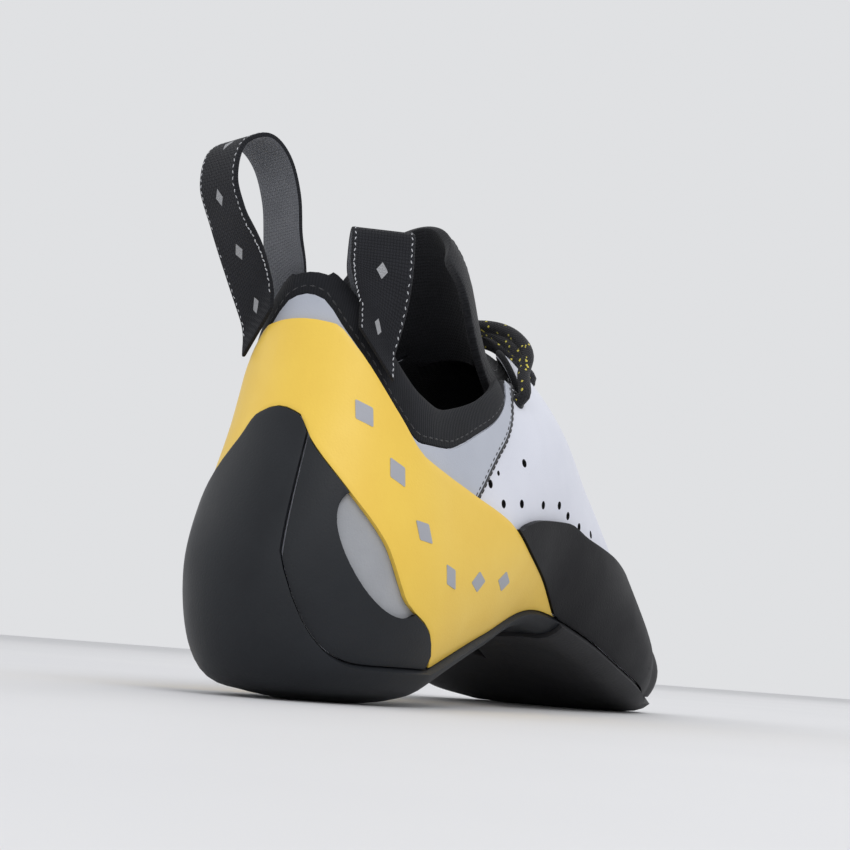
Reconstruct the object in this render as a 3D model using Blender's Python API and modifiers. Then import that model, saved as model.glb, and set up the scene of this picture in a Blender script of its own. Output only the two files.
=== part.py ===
"""A right climbing shoe: upper, rubber, cuff, tongue, lacing and pull loops on one last.

The last is a function. A row of sections runs from heel to toe, the heel and the
toe are rounded by fans, and every piece is laid on the surface that comes out of it.
In the modelling frame +Y runs from the back of the heel (0) to the toe, +X is the
wearer's right and +Z is up from the floor.
"""
import math
from collections import namedtuple
from functools import lru_cache

import bmesh
import bpy
from mathutils import Matrix, Vector

# Driving sizes of the last, in metres
LAST_LENGTH = 0.223
BALL_WIDTH = 0.069
HEEL_WIDTH = 0.054
HEEL_DEPTH = 0.038
TOE_DEPTH = 0.027
COLLAR_HEIGHT = 0.094
INSTEP_HEIGHT = 0.095
TOE_HEIGHT = 0.037
ARCH_RISE = 0.020

# Thicknesses and clearances, in metres
SEAM_GAP = 0.0004
UPPER_WALL = 0.0018
BAND_THICK = 0.0012
HEEL_PANEL_THICK = 0.0014
HEEL_STRIP_THICK = 0.0022
RAND_THICK = 0.0017
CUFF_THICK = 0.0024
OUTSOLE_THICK = 0.0036
HEEL_SOLE_THICK = 0.0028
INSOLE_THICK = 0.0014
TONGUE_THICK = 0.0022
FLOOR_GRIND = 0.0005

# Lacing and pull loops, in metres
LACE_RADIUS = 0.0016
EYELET_INSET = 0.0055
WEBBING_WIDTH = 0.0140
WEBBING_THICK = 0.0011
WINDOW_DEPTH = 0.0095
LOOP_HEIGHT = 0.032
LOOP_EYE = 0.022

# Counts
UPPER_ROWS = 12
SOLE_ROWS = 5
INSOLE_ROWS = 3
BAND_ROWS = 8
STRIP_ROWS = 9
PANEL_ROWS = 8
RAND_ROWS = 5
CUFF_ROWS = 2
TONGUE_COLUMNS = 8
LACE_ROWS = 5
CROSSING_STEPS = 5
LACE_ARC_STEPS = 2
LOOP_STEPS = 2

# Spacing of the facets along the last, and the length that a turn of one radian counts for
STATION_STEP = 0.0076
TURN_WEIGHT = 0.022

# Where on the last the pieces end, as shares of its length
HEEL_FAN = HEEL_DEPTH / LAST_LENGTH
TOE_FAN = 1.0 - TOE_DEPTH / LAST_LENGTH
THROAT_CORNER = 0.386
THROAT_END = 0.735
SPINE_START = 0.440
EYELET_FIRST = 0.062
EYELET_LAST = 0.045
PANEL_SHORT = 0.012
NORMAL_STEP = 0.0015

# Levels of a section: 0 is the middle of the bottom, 2 the feather edge, 5 the top
BEND = 0.70
FEATHER = 2.0
TOP = 5.0
LASTING_EDGE = 0.95
SOLE_EDGE = 2.14
INSOLE_EDGE = 1.62
TONGUE_TUCK = 0.03
TONGUE_LAP = 0.10
TONGUE_WRAP = 80.0
NORMAL_STEP_LEVEL = 0.02

Section = namedtuple("Section", (
    "along ball lean arch collar instep toe "
    "r_feather r_feather_up r_belly r_belly_up r_shoulder r_shoulder_up r_rim "
    "l_feather l_feather_up l_belly l_belly_up l_shoulder l_shoulder_up l_rim"))

# along: share of LAST_LENGTH. ball: 0 scales the widths by HEEL_WIDTH, 1 by BALL_WIDTH.
# lean: middle line to the left, share of BALL_WIDTH. arch: share of ARCH_RISE.
# collar, instep, toe: shares of those heights that add up to the section's top.
# The rest are half widths from the middle line and heights between bottom and top.
SECTIONS = [
    Section(0.170, 0.00, 0.000, 0.00, 0.84, 0.00, 0.00,
            0.81, 0.06, 1.00, 0.30, 0.89, 0.70, 0.74,
            0.81, 0.06, 1.00, 0.30, 0.85, 0.70, 0.74),
    Section(0.305, 0.10, 0.015, 0.60, 0.50, 0.34, 0.00,
            0.77, 0.03, 1.02, 0.30, 0.97, 0.70, 0.77,
            0.68, 0.06, 0.94, 0.34, 0.90, 0.71, 0.74),
    Section(0.440, 0.35, 0.043, 1.00, 0.00, 1.00, 0.00,
            0.74, 0.02, 1.01, 0.26, 0.91, 0.68, 0.03,
            0.66, 0.05, 0.86, 0.29, 0.82, 0.67, -0.03),
    Section(0.574, 0.70, 0.100, 0.78, 0.00, 0.78, 0.22,
            0.87, 0.01, 1.05, 0.24, 0.83, 0.66, 0.06,
            0.76, 0.02, 0.92, 0.25, 0.76, 0.64, -0.06),
    Section(0.686, 0.95, 0.160, 0.42, 0.00, 0.50, 0.50,
            0.94, 0.02, 1.08, 0.26, 0.79, 0.65, 0.06,
            0.86, 0.02, 0.98, 0.26, 0.74, 0.63, -0.06),
    Section(0.798, 1.00, 0.203, 0.12, 0.00, 0.19, 0.81,
            0.93, 0.05, 1.04, 0.26, 0.70, 0.68, 0.00,
            0.90, 0.05, 0.97, 0.31, 0.71, 0.69, 0.00),
    Section(0.879, 1.00, 0.232, 0.00, 0.00, 0.00, 1.00,
            0.81, 0.05, 0.90, 0.27, 0.64, 0.70, 0.00,
            0.73, 0.05, 0.79, 0.32, 0.58, 0.72, 0.00),
]

FanPoint = namedtuple("FanPoint", "depth height")

# Profile of the back of the heel: share of HEEL_DEPTH and height of COLLAR_HEIGHT
HEEL_PROFILE = [FanPoint(0.87, 0.075), FanPoint(1.00, 0.30), FanPoint(0.72, 0.70), FanPoint(0.56, 1.00)]
# Profile of the toe tip: share of TOE_DEPTH and height of TOE_HEIGHT
TOE_PROFILE = [FanPoint(0.92, 0.13), FanPoint(1.00, 0.32), FanPoint(0.66, 0.74), FanPoint(0.0, 1.00)]
FAN_SQUARENESS = 2.1

Edge = namedtuple("Edge", "along girth")

# Edges of the overlays. along is a share of LAST_LENGTH. girth runs from 0 in the middle
# of the bottom to 1 at the feather edge, and above that is 1 plus a share of COLLAR_HEIGHT.
COLLAR_RIM = [Edge(0.00, 1.940), Edge(0.020, 1.928), Edge(0.047, 1.86), Edge(0.085, 1.755), Edge(0.111, 1.67),
              Edge(0.141, 1.61), Edge(0.185, 1.61), Edge(0.213, 1.65), Edge(0.240, 1.665),
              Edge(0.280, 1.71), Edge(0.318, 1.775), Edge(0.350, 1.845)]
CUFF_TOP = [Edge(0.00, 2.00), Edge(0.020, 1.988), Edge(0.047, 1.94), Edge(0.085, 1.855), Edge(0.111, 1.775),
            Edge(0.141, 1.715), Edge(0.175, 1.69), Edge(0.206, 1.705), Edge(0.240, 1.73),
            Edge(0.280, 1.775), Edge(0.314, 1.820)]
BAND_TOP = [Edge(0.00, 1.873), Edge(0.038, 1.862), Edge(0.064, 1.805), Edge(0.111, 1.66),
            Edge(0.141, 1.575), Edge(0.211, 1.52), Edge(0.296, 1.468), Edge(0.354, 1.404),
            Edge(0.430, 1.34), Edge(0.498, 1.26)]
BAND_BOTTOM = [Edge(0.00, 1.655), Edge(0.021, 1.635), Edge(0.034, 1.58), Edge(0.068, 1.48),
               Edge(0.107, 1.36), Edge(0.132, 1.235), Edge(0.158, 1.18), Edge(0.180, 1.05)]
ARCH_BACK = [Edge(0.185, 1.00), Edge(0.198, 0.97), Edge(0.215, 0.93), Edge(0.260, 0.82),
             Edge(0.327, 0.66), Edge(0.395, 0.52), Edge(0.448, 0.40), Edge(0.470, 0.22),
             Edge(0.495, 0.03), Edge(0.615, 0.03)]
ARCH_FRONT = [Edge(0.498, 1.00), Edge(0.506, 0.90), Edge(0.516, 0.78), Edge(0.530, 0.62),
              Edge(0.574, 0.30), Edge(0.605, 0.12), Edge(0.615, 0.08)]
RAND_TOP = [Edge(0.314, 1.436), Edge(0.340, 1.47), Edge(0.377, 1.49), Edge(0.448, 1.50),
            Edge(0.511, 1.47), Edge(0.565, 1.45), Edge(0.605, 1.435), Edge(0.686, 1.39),
            Edge(0.798, 1.325), Edge(0.879, 1.275), Edge(1.00, 1.265)]
WINDOW_TOP = Edge(0.068, 1.462)
WINDOW_FOOT = Edge(0.143, 1.215)
STRIP_HALF = 0.030
ARM_FRONT = 0.505
LEFT_LOOP_PLACE = 0.052
RIGHT_LOOP_PLACE = 0.083

Throat = namedtuple("Throat", "along gap")

# Half width of the throat, as a share of BALL_WIDTH
THROAT = [Throat(0.386, 0.215), Throat(0.440, 0.150), Throat(0.520, 0.110), Throat(0.620, 0.090),
          Throat(0.690, 0.075), Throat(0.722, 0.045), Throat(0.735, 0.0)]

TongueRow = namedtuple("TongueRow", "along height half drop tilt")

# The free end of the tongue: along LAST_LENGTH, height of INSTEP_HEIGHT, half width and
# drop of its sides as shares of HEEL_WIDTH, tilt of that drop from straight back, degrees
TONGUE_TIP = [
    TongueRow(0.405, 0.960, 0.32, 0.34, 60.0),
    TongueRow(0.386, 1.010, 0.33, 0.38, 46.0),
    TongueRow(0.368, 1.075, 0.34, 0.42, 36.0),
    TongueRow(0.350, 1.150, 0.35, 0.44, 32.0),
    TongueRow(0.336, 1.220, 0.31, 0.42, 38.0),
    TongueRow(0.326, 1.265, 0.22, 0.36, 44.0),
]

LacePoint = namedtuple("LacePoint", "right along height")

# The slack lace over the tongue: to the right of the spine as a share of BALL_WIDTH, along
# LAST_LENGTH and up INSTEP_HEIGHT
LACE_ARC = [LacePoint(0.283, 0.382, 0.865), LacePoint(0.268, 0.398, 0.925),
            LacePoint(0.195, 0.409, 0.978), LacePoint(0.087, 0.413, 1.005), LacePoint(-0.058, 0.413, 1.005),
            LacePoint(-0.190, 0.408, 0.985), LacePoint(-0.285, 0.396, 0.935), LacePoint(-0.345, 0.382, 0.870)]
TOP_EYELET = Edge(0.367, 1.80)

LoopPoint = namedtuple("LoopPoint", "out up")

# The left pull loop stands open and the right one is folded flat: shares of LOOP_EYE
# away from the cuff, and of LOOP_HEIGHT up from its top edge
OPEN_LOOP = [LoopPoint(0.22, -0.25), LoopPoint(0.25, -0.06), LoopPoint(0.43, 0.20), LoopPoint(0.74, 0.56),
             LoopPoint(0.84, 0.76), LoopPoint(0.77, 0.98), LoopPoint(0.48, 1.08), LoopPoint(0.23, 0.97),
             LoopPoint(0.07, 0.72), LoopPoint(0.00, 0.40), LoopPoint(-0.10, 0.16), LoopPoint(-0.18, -0.03)]
FLAT_LOOP = [LoopPoint(0.200, -0.18), LoopPoint(0.145, 0.00), LoopPoint(0.14, 0.30), LoopPoint(0.12, 0.54),
             LoopPoint(0.08, 0.66), LoopPoint(-0.02, 0.69), LoopPoint(-0.11, 0.63), LoopPoint(-0.14, 0.48),
             LoopPoint(-0.15, 0.25), LoopPoint(-0.15, 0.07), LoopPoint(-0.14, -0.05)]

Finish = namedtuple("Finish", "red green blue roughness")

YELLOW = Finish(0.86, 0.60, 0.11, 0.55)
BLACK_RUBBER = Finish(0.022, 0.023, 0.026, 0.62)
BLACK_FABRIC = Finish(0.018, 0.019, 0.022, 0.90)
PALE_FABRIC = Finish(0.68, 0.69, 0.75, 0.80)
GREY_BOARD = Finish(0.25, 0.25, 0.26, 0.85)

# Free cords, which the shoe's box leaves out
CORDS = ("lace_top",)


def smooth(knots, values, at):
    """Cubic curve through the knots, its slopes taken from the knots beside each."""
    last = len(knots) - 1
    if at <= knots[0]:
        return values[0]
    if at >= knots[last]:
        return values[last]
    i = max(k for k in range(last) if knots[k] <= at)

    def slope(k):
        if k in (0, last):
            j = min(k, last - 1)
            return (values[j + 1] - values[j]) / (knots[j + 1] - knots[j])
        before, after = knots[k] - knots[k - 1], knots[k + 1] - knots[k]
        rise_before = (values[k] - values[k - 1]) / before
        rise_after = (values[k + 1] - values[k]) / after
        return (rise_before * after + rise_after * before) / (before + after)

    span = knots[i + 1] - knots[i]
    t = (at - knots[i]) / span
    return ((2 * t ** 3 - 3 * t ** 2 + 1) * values[i] + (t ** 3 - 2 * t ** 2 + t) * slope(i) * span
            + (3 * t ** 2 - 2 * t ** 3) * values[i + 1] + (t ** 3 - t ** 2) * slope(i + 1) * span)


def straight(rows, column, at):
    """Straight runs between the rows of a table, held level past its ends."""
    if at <= rows[0].along:
        return getattr(rows[0], column)
    for low, high in zip(rows, rows[1:]):
        if at <= high.along:
            t = (at - low.along) / (high.along - low.along)
            return getattr(low, column) * (1 - t) + getattr(high, column) * t
    return getattr(rows[-1], column)


def section_points(row, side):
    """The five guide points of one section row: bottom, feather, belly, shoulder, top."""
    half = (HEEL_WIDTH * (1 - row.ball) + BALL_WIDTH * row.ball) / 2
    sign = 1 if side > 0 else -1
    name = "r_" if side > 0 else "l_"
    middle = -row.lean * BALL_WIDTH
    under = HEEL_SOLE_THICK * (1 - row.ball) + OUTSOLE_THICK * row.ball
    bottom = under + SEAM_GAP - FLOOR_GRIND + row.arch * ARCH_RISE
    top = row.collar * COLLAR_HEIGHT + row.instep * INSTEP_HEIGHT + row.toe * TOE_HEIGHT
    points = [(middle, bottom)]
    for part in ("feather", "belly", "shoulder"):
        out = getattr(row, name + part)
        up = getattr(row, name + part + "_up")
        points.append((middle + sign * half * out, bottom + (top - bottom) * up))
    rim = getattr(row, name + "rim")
    shift = half * rim * sign if row.along < SPINE_START else half * row.r_rim
    points.append((middle + shift, top))
    return points


def row_values(side):
    """The guide points of every row, ready to be joined lengthwise."""
    return [section_points(row, side) for row in SECTIONS]


GUIDES = {1: row_values(1), -1: row_values(-1)}
ALONG = [row.along for row in SECTIONS]


def side_points(along, side):
    """The guide points of a section across the last."""
    found = []
    for k in range(5):
        x = smooth(ALONG, [row[k][0] for row in GUIDES[side]], along)
        z = smooth(ALONG, [row[k][1] for row in GUIDES[side]], along)
        found.append(Vector((x, along * LAST_LENGTH, z)))
    return found


def fan_points(along, side):
    """The guide points of a section in the round of the heel or the toe."""
    heel = along < HEEL_FAN
    base = side_points(HEEL_FAN if heel else TOE_FAN, side)
    turn = (HEEL_FAN - along) / HEEL_FAN if heel else (along - TOE_FAN) / (1 - TOE_FAN)
    angle = min(turn, 1.0) * math.pi / 2
    across = abs(math.cos(angle)) ** (2 / FAN_SQUARENESS)
    outward = math.sin(angle) ** (2 / FAN_SQUARENESS)
    weight = math.sin(angle) ** 2
    profile = HEEL_PROFILE if heel else TOE_PROFILE
    depth, height = (HEEL_DEPTH, COLLAR_HEIGHT) if heel else (TOE_DEPTH, TOE_HEIGHT)
    way = -1 if heel else 1
    middle = base[0]
    found = [middle.copy()]
    for point, fan in zip(base[1:], profile):
        found.append(Vector((
            middle.x + (point.x - middle.x) * across,
            middle.y + way * depth * fan.depth * outward,
            point.z * (1 - weight) + height * fan.height * weight)))
    return found


@lru_cache(maxsize=None)
def curve(along, side):
    """Knots and guide points of one section, with one more point past each end."""
    fan = along < HEEL_FAN or along > TOE_FAN
    guide = fan_points(along, side) if fan else side_points(along, side)
    foot, feather = guide[0], guide[1]
    bend = foot + (feather - foot) * BEND
    bend.z = foot.z + (feather.z - foot.z) * BEND ** 3
    points = [foot, bend] + guide[1:]
    before = Vector((2 * foot.x - bend.x, 2 * foot.y - bend.y, bend.z))
    rim, shoulder = points[-1], points[-2]
    closed = min(1.0, max(0.0, (along - HEEL_FAN) / (SPINE_START - HEEL_FAN)))
    if along > TOE_FAN:
        closed = math.cos(min((along - TOE_FAN) / (1 - TOE_FAN), 1.0) * math.pi / 2) ** 2
    after = 2 * rim - shoulder
    after.z = after.z * (1 - closed) + shoulder.z * closed
    points = [before] + points + [after]
    knots = [0.0]
    for low, high in zip(points, points[1:]):
        knots.append(knots[-1] + max((high - low).length, 1e-6) ** 0.5)
    return knots, points


def on_last(u, level):
    """Point of the last at a signed share of its length and a level of its section."""
    side = 1 if u >= 0 else -1
    knots, points = curve(round(abs(u), 7), side)
    level = min(max(level, 0.0), TOP)
    k = min(int(level), 4) + 1
    t = knots[k] + (knots[k + 1] - knots[k]) * (level - (k - 1))
    p0, p1, p2, p3 = points[k - 1:k + 3]
    t0, t1, t2, t3 = knots[k - 1:k + 3]
    a1 = p0 * ((t1 - t) / (t1 - t0)) + p1 * ((t - t0) / (t1 - t0))
    a2 = p1 * ((t2 - t) / (t2 - t1)) + p2 * ((t - t1) / (t2 - t1))
    a3 = p2 * ((t3 - t) / (t3 - t2)) + p3 * ((t - t2) / (t3 - t2))
    b1 = a1 * ((t2 - t) / (t2 - t0)) + a2 * ((t - t0) / (t2 - t0))
    b2 = a2 * ((t3 - t) / (t3 - t1)) + a3 * ((t - t1) / (t3 - t1))
    return b1 * ((t2 - t) / (t2 - t1)) + b2 * ((t - t1) / (t2 - t1))


def outward(u, level):
    """Unit normal of the last, the same from both sides on its bottom and top lines."""
    normal = side_normal(u, level)
    if level < NORMAL_STEP_LEVEL or level > TOP - NORMAL_STEP_LEVEL:
        normal += side_normal(-u if u else -NORMAL_STEP, level)
    return normal.normalized()


def side_normal(u, level):
    """Unit normal of one side of the last, pointing out of the shoe."""
    step_u, step_level = NORMAL_STEP, NORMAL_STEP_LEVEL
    side = 1 if u >= 0 else -1
    low = max(abs(u) - step_u, 0.0)
    high = min(abs(u) + step_u, 1.0)
    along = on_last(side * high, level) - on_last(side * low if low else side * 1e-9, level)
    up = on_last(u, level + step_level) - on_last(u, level - step_level)
    normal = along.cross(up) * side
    if normal.length < 1e-12 or along.length < 1e-5:
        return Vector((0, 0, -1 if level < FEATHER else 1))
    if abs(u) < step_u or abs(u) > 1 - step_u:
        normal.x = 0.0
    return normal.normalized()


def off_last(u, level, distance):
    """Point at a distance outside the last."""
    return on_last(u, level) + outward(u, level) * distance


def level_at_height(u, height, low=FEATHER):
    """Level above the feather edge where the section reaches a height."""
    high = TOP
    if on_last(u, low).z >= height:
        return low
    for _ in range(24):
        middle = (low + high) / 2
        if on_last(u, middle).z < height:
            low = middle
        else:
            high = middle
    return (low + high) / 2


def level_of(u, girth):
    """Level of a girth: across the bottom up to 1, by height above that."""
    if girth <= 1.0:
        return girth / BEND if girth < BEND else 1 + (girth - BEND) / (1 - BEND)
    return level_at_height(u, (girth - 1) * COLLAR_HEIGHT)


def shifted(u, level, distance):
    """The level that lies a distance further up the section."""
    step = 0.02
    speed = (on_last(u, level + step) - on_last(u, level - step)).length / (2 * step)
    return level + distance / max(speed, 1e-4)


def edge(table, u, shift=0.0):
    """Level of an overlay's edge, moved up the section by a distance."""
    level = level_of(u, straight(table, "girth", abs(u)))
    return shifted(u, level, shift) if shift else level


def beside_spine(u, gap):
    """Level where the last is a distance to the side of its spine."""
    spine = on_last(u, TOP).x
    low, high = FEATHER + 1, TOP
    for _ in range(24):
        middle = (low + high) / 2
        if abs(on_last(u, middle).x - spine) > gap:
            low = middle
        else:
            high = middle
    return (low + high) / 2


def throat_level(u):
    """Level where the upper ends beside the throat."""
    return beside_spine(u, straight(THROAT, "gap", abs(u)) * BALL_WIDTH)


def rim_level(u):
    """Level of the upper's edge at the collar and the throat."""
    along = abs(u)
    if along >= THROAT_END:
        return TOP
    if along >= THROAT_CORNER:
        return throat_level(u)
    last_row = COLLAR_RIM[-1]
    if along <= last_row.along:
        return edge(COLLAR_RIM, u)
    side = 1 if u > 0 else -1
    start = edge(COLLAR_RIM, side * last_row.along)
    end = throat_level(side * THROAT_CORNER)
    t = (along - last_row.along) / (THROAT_CORNER - last_row.along)
    return start * (1 - t) + end * t


def stations(start, end, extra=()):
    """Signed shares from start to end, even along the feather edge, and at each extra place."""
    count = 400
    marks = [start + (end - start) * k / count for k in range(count + 1)]
    length = [0.0]
    for low, high in zip(marks, marks[1:]):
        length.append(length[-1] + (on_last(high, FEATHER) - on_last(low, FEATHER)).length)
    steps = max(2, round(length[-1] / STATION_STEP))
    found = []
    for k in range(steps + 1):
        want = length[-1] * k / steps
        j = max(i for i in range(count + 1) if length[i] <= want + 1e-9)
        if j == count:
            found.append(marks[count])
            continue
        t = (want - length[j]) / (length[j + 1] - length[j])
        found.append(marks[j] * (1 - t) + marks[j + 1] * t)
    near = STATION_STEP / LAST_LENGTH / 3
    low, high = min(start, end), max(start, end)
    for place in extra:
        if not low < place < high:
            continue
        found = [u for u in found if abs(u - place) > near or u in (found[0], found[-1])]
        found.append(place)
    return sorted(set(found), reverse=end < start)


# The same places along the last for every piece, so that their facets lie face to face
SHARED_MARKS = [STRIP_HALF, 0.107, 0.140, 0.155, HEEL_FAN, 0.206, 0.314, THROAT_CORNER, SPINE_START,
                0.498, 0.530, 0.574, 0.615, 0.710, THROAT_END, TOE_FAN]
LEFT_MARKS = [0.162, 0.178, 0.185, 0.198, 0.506, 0.516]
RIGHT = stations(0.0, 1.0, SHARED_MARKS)
LEFT = sorted(RIGHT + LEFT_MARKS)


def right_run(start, end):
    """Shared places from start to end on the right side, both ends included."""
    inner = [u for u in RIGHT if start + 1e-6 < u < end - 1e-6]
    return [start] + inner + [end]


def left_run(start, end):
    """Shared places on the left side, as negative shares."""
    inner = [u for u in LEFT if start + 1e-6 < u < end - 1e-6]
    return [-u for u in [start] + inner + [end]]


def sheet(columns):
    """Open mesh through columns of points, its coinciding points welded."""
    mesh = bmesh.new()
    rows = [[mesh.verts.new(point) for point in column] for column in columns]
    for low, high in zip(rows, rows[1:]):
        for j in range(len(low) - 1):
            mesh.faces.new((low[j], high[j], high[j + 1], low[j + 1]))
    bmesh.ops.remove_doubles(mesh, verts=mesh.verts, dist=2e-6)
    return mesh


def join_sheets(meshes):
    """One open mesh of several, welded where their edges coincide."""
    whole = bmesh.new()
    for mesh in meshes:
        data = bpy.data.meshes.new("piece")
        mesh.to_mesh(data)
        mesh.free()
        whole.from_mesh(data)
        bpy.data.meshes.remove(data)
    bmesh.ops.remove_doubles(whole, verts=whole.verts, dist=2e-6)
    return whole


def spread_levels(u, low, high, rows):
    """Levels from low to high, closer together where the section turns."""
    count = 40
    marks = [low + (high - low) * k / count for k in range(count + 1)]
    points = [on_last(u, level) for level in marks]
    total = [0.0]
    for k in range(count):
        run = points[k + 1] - points[k]
        turn = 0.0
        if 0 < k and run.length > 1e-7 and (points[k] - points[k - 1]).length > 1e-7:
            turn = run.angle(points[k] - points[k - 1])
        total.append(total[-1] + run.length + TURN_WEIGHT * turn)
    found = []
    for j in range(rows + 1):
        want = total[-1] * j / rows
        k = min(max(i for i in range(count + 1) if total[i] <= want + 1e-12), count - 1)
        span = total[k + 1] - total[k]
        t = (want - total[k]) / span if span > 1e-12 else j / rows
        found.append(marks[k] * (1 - t) + marks[k + 1] * t)
    return found


def laid(places, low_edge, high_edge, rows, offset):
    """Columns of points on the last between two edges, an offset outside it."""
    columns = []
    for u in places:
        low = low_edge(u)
        high = max(high_edge(u), low)
        columns.append([off_last(u, level, offset) for level in spread_levels(u, low, high, rows)])
    return columns


def add_object(name, mesh, finish):
    """Object of the shoe from a bmesh, with its own material."""
    data = bpy.data.meshes.new(name)
    mesh.to_mesh(data)
    mesh.free()
    thing = bpy.data.objects.new(name, data)
    PARTS.objects.link(thing)
    add_material(thing, finish)
    return thing


def add_material(thing, finish):
    """A Principled material in the piece's colour and roughness."""
    material = bpy.data.materials.new(thing.name)
    material.use_nodes = True
    shader = material.node_tree.nodes["Principled BSDF"]
    shader.inputs["Base Color"].default_value = (finish.red, finish.green, finish.blue, 1.0)
    shader.inputs["Roughness"].default_value = finish.roughness
    shader.inputs["Metallic"].default_value = 0.0
    thing.data.materials.append(material)


def thicken(thing, thickness, inward=False):
    """Wall on one side of an open sheet."""
    wall = thing.modifiers.new("wall", "SOLIDIFY")
    wall.thickness = thickness
    wall.offset = -1.0 if inward else 1.0
    wall.use_even_offset = False
    thing.data.shade_smooth()
    thing.data.set_sharp_from_angle(angle=math.radians(50))


def overlay(name, sheets, thickness, finish, inward=False):
    """Piece of even thickness from one or more sheets on the last."""
    mesh = join_sheets(sheets)
    bmesh.ops.recalc_face_normals(mesh, faces=mesh.faces)
    aim_outward(mesh)
    thing = add_object(name, mesh, finish)
    thicken(thing, thickness, inward)
    return thing


def aim_outward(mesh):
    """Turn a sheet's faces so that they look away from the inside of the shoe."""
    core_low = Vector((-0.05 * BALL_WIDTH, 0.2 * LAST_LENGTH, 0.4 * COLLAR_HEIGHT))
    core_high = Vector((-0.2 * BALL_WIDTH, 0.85 * LAST_LENGTH, 0.5 * TOE_HEIGHT))
    score = 0.0
    for face in mesh.faces:
        middle = face.calc_center_median()
        t = min(max((middle.y - core_low.y) / (core_high.y - core_low.y), 0.0), 1.0)
        core = core_low.lerp(core_high, t)
        score += face.normal.dot(middle - core) * face.calc_area()
    if score < 0:
        bmesh.ops.reverse_faces(mesh, faces=mesh.faces)


def build_upper():
    """The hollow upper, lasted under at the bottom, open at collar and throat."""
    ring = left_run(0.0, 1.0)[::-1] + right_run(0.0, 1.0)[1:]
    columns = laid(ring, lambda u: LASTING_EDGE, rim_level, UPPER_ROWS, 0.0)
    return overlay("upper", [sheet(columns)], UPPER_WALL, PALE_FABRIC, inward=True)


def build_insole():
    """Board inside the upper, on its lasting margin."""
    half = RIGHT[::2] + ([] if len(RIGHT) % 2 else RIGHT[-1:])
    ring = [-u for u in half[::-1]] + half[1:]
    columns = laid(ring, lambda u: 0.0, lambda u: INSOLE_EDGE, INSOLE_ROWS, -(UPPER_WALL + 2 * SEAM_GAP))
    return overlay("insole", [sheet(columns)], INSOLE_THICK, GREY_BOARD, inward=True)


def build_cuff():
    """Stretch cuff that carries the wall on above the upper's rim round the heel."""
    end = CUFF_TOP[-1].along
    ring = left_run(0.0, end)[::-1] + right_run(0.0, end)[1:]
    columns = laid(ring, lambda u: shifted(u, rim_level(u), SEAM_GAP * 1.5),
                   lambda u: shifted(u, edge(CUFF_TOP, u), SEAM_GAP * 2), CUFF_ROWS, -UPPER_WALL)
    return overlay("collar_cuff", [sheet(columns)], CUFF_THICK, BLACK_FABRIC)


def band_bottom(u):
    """Lower edge of the yellow band, which runs under the arch on the inner side."""
    along = abs(u)
    if along <= BAND_BOTTOM[-1].along:
        return max(edge(BAND_BOTTOM, u, SEAM_GAP / 2), shifted(u, SOLE_EDGE, SEAM_GAP / 2))
    if u > 0 or along < ARCH_BACK[0].along:
        return shifted(u, SOLE_EDGE, SEAM_GAP / 2)
    return edge(ARCH_BACK, u, SEAM_GAP / 2)


def band_top(u):
    """Upper edge of the yellow band."""
    if u > 0 or -u < ARCH_FRONT[0].along:
        return edge(BAND_TOP, u, -SEAM_GAP / 2)
    return edge(ARCH_FRONT, u, -SEAM_GAP / 2)


def build_band():
    """Yellow tension band: round the heel, down both sides, and under the arch."""
    ring = left_run(0.0, ARCH_FRONT[-1].along)[::-1] + right_run(0.0, BAND_TOP[-1].along)[1:]
    columns = laid(ring, band_bottom, band_top, BAND_ROWS, SEAM_GAP)
    return overlay("tension_band", [sheet(columns)], BAND_THICK, YELLOW)


def build_heel_strip():
    """Raised strip of rubber up the back of the heel."""
    half = STRIP_HALF - SEAM_GAP / LAST_LENGTH / 2
    ring = left_run(0.0, half)[::-1] + right_run(0.0, half)[1:]
    columns = laid(ring, lambda u: shifted(u, SOLE_EDGE, SEAM_GAP / 2),
                   lambda u: edge(BAND_BOTTOM, u, -SEAM_GAP / 2), STRIP_ROWS, SEAM_GAP)
    return overlay("heel_strip", [sheet(columns)], HEEL_STRIP_THICK, BLACK_RUBBER)


def build_heel_panels():
    """Thinner rubber beside the strip, with a half-round window in the outer one."""
    start = STRIP_HALF + SEAM_GAP / LAST_LENGTH / 2
    end = BAND_BOTTOM[-1].along - PANEL_SHORT

    def low(u):
        return shifted(u, SOLE_EDGE, SEAM_GAP / 2)

    def high(u):
        return edge(BAND_BOTTOM, u, -SEAM_GAP / 2)

    left = laid(left_run(start, end), low, high, PANEL_ROWS, SEAM_GAP)
    overlay("heel_panel_left", [sheet(left)], HEEL_PANEL_THICK, BLACK_RUBBER)
    right = laid(right_run(start, end), low, high, PANEL_ROWS, SEAM_GAP)
    panel = overlay("heel_panel_right", [sheet(right)], HEEL_PANEL_THICK, BLACK_RUBBER)
    cut_window(panel)


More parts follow.
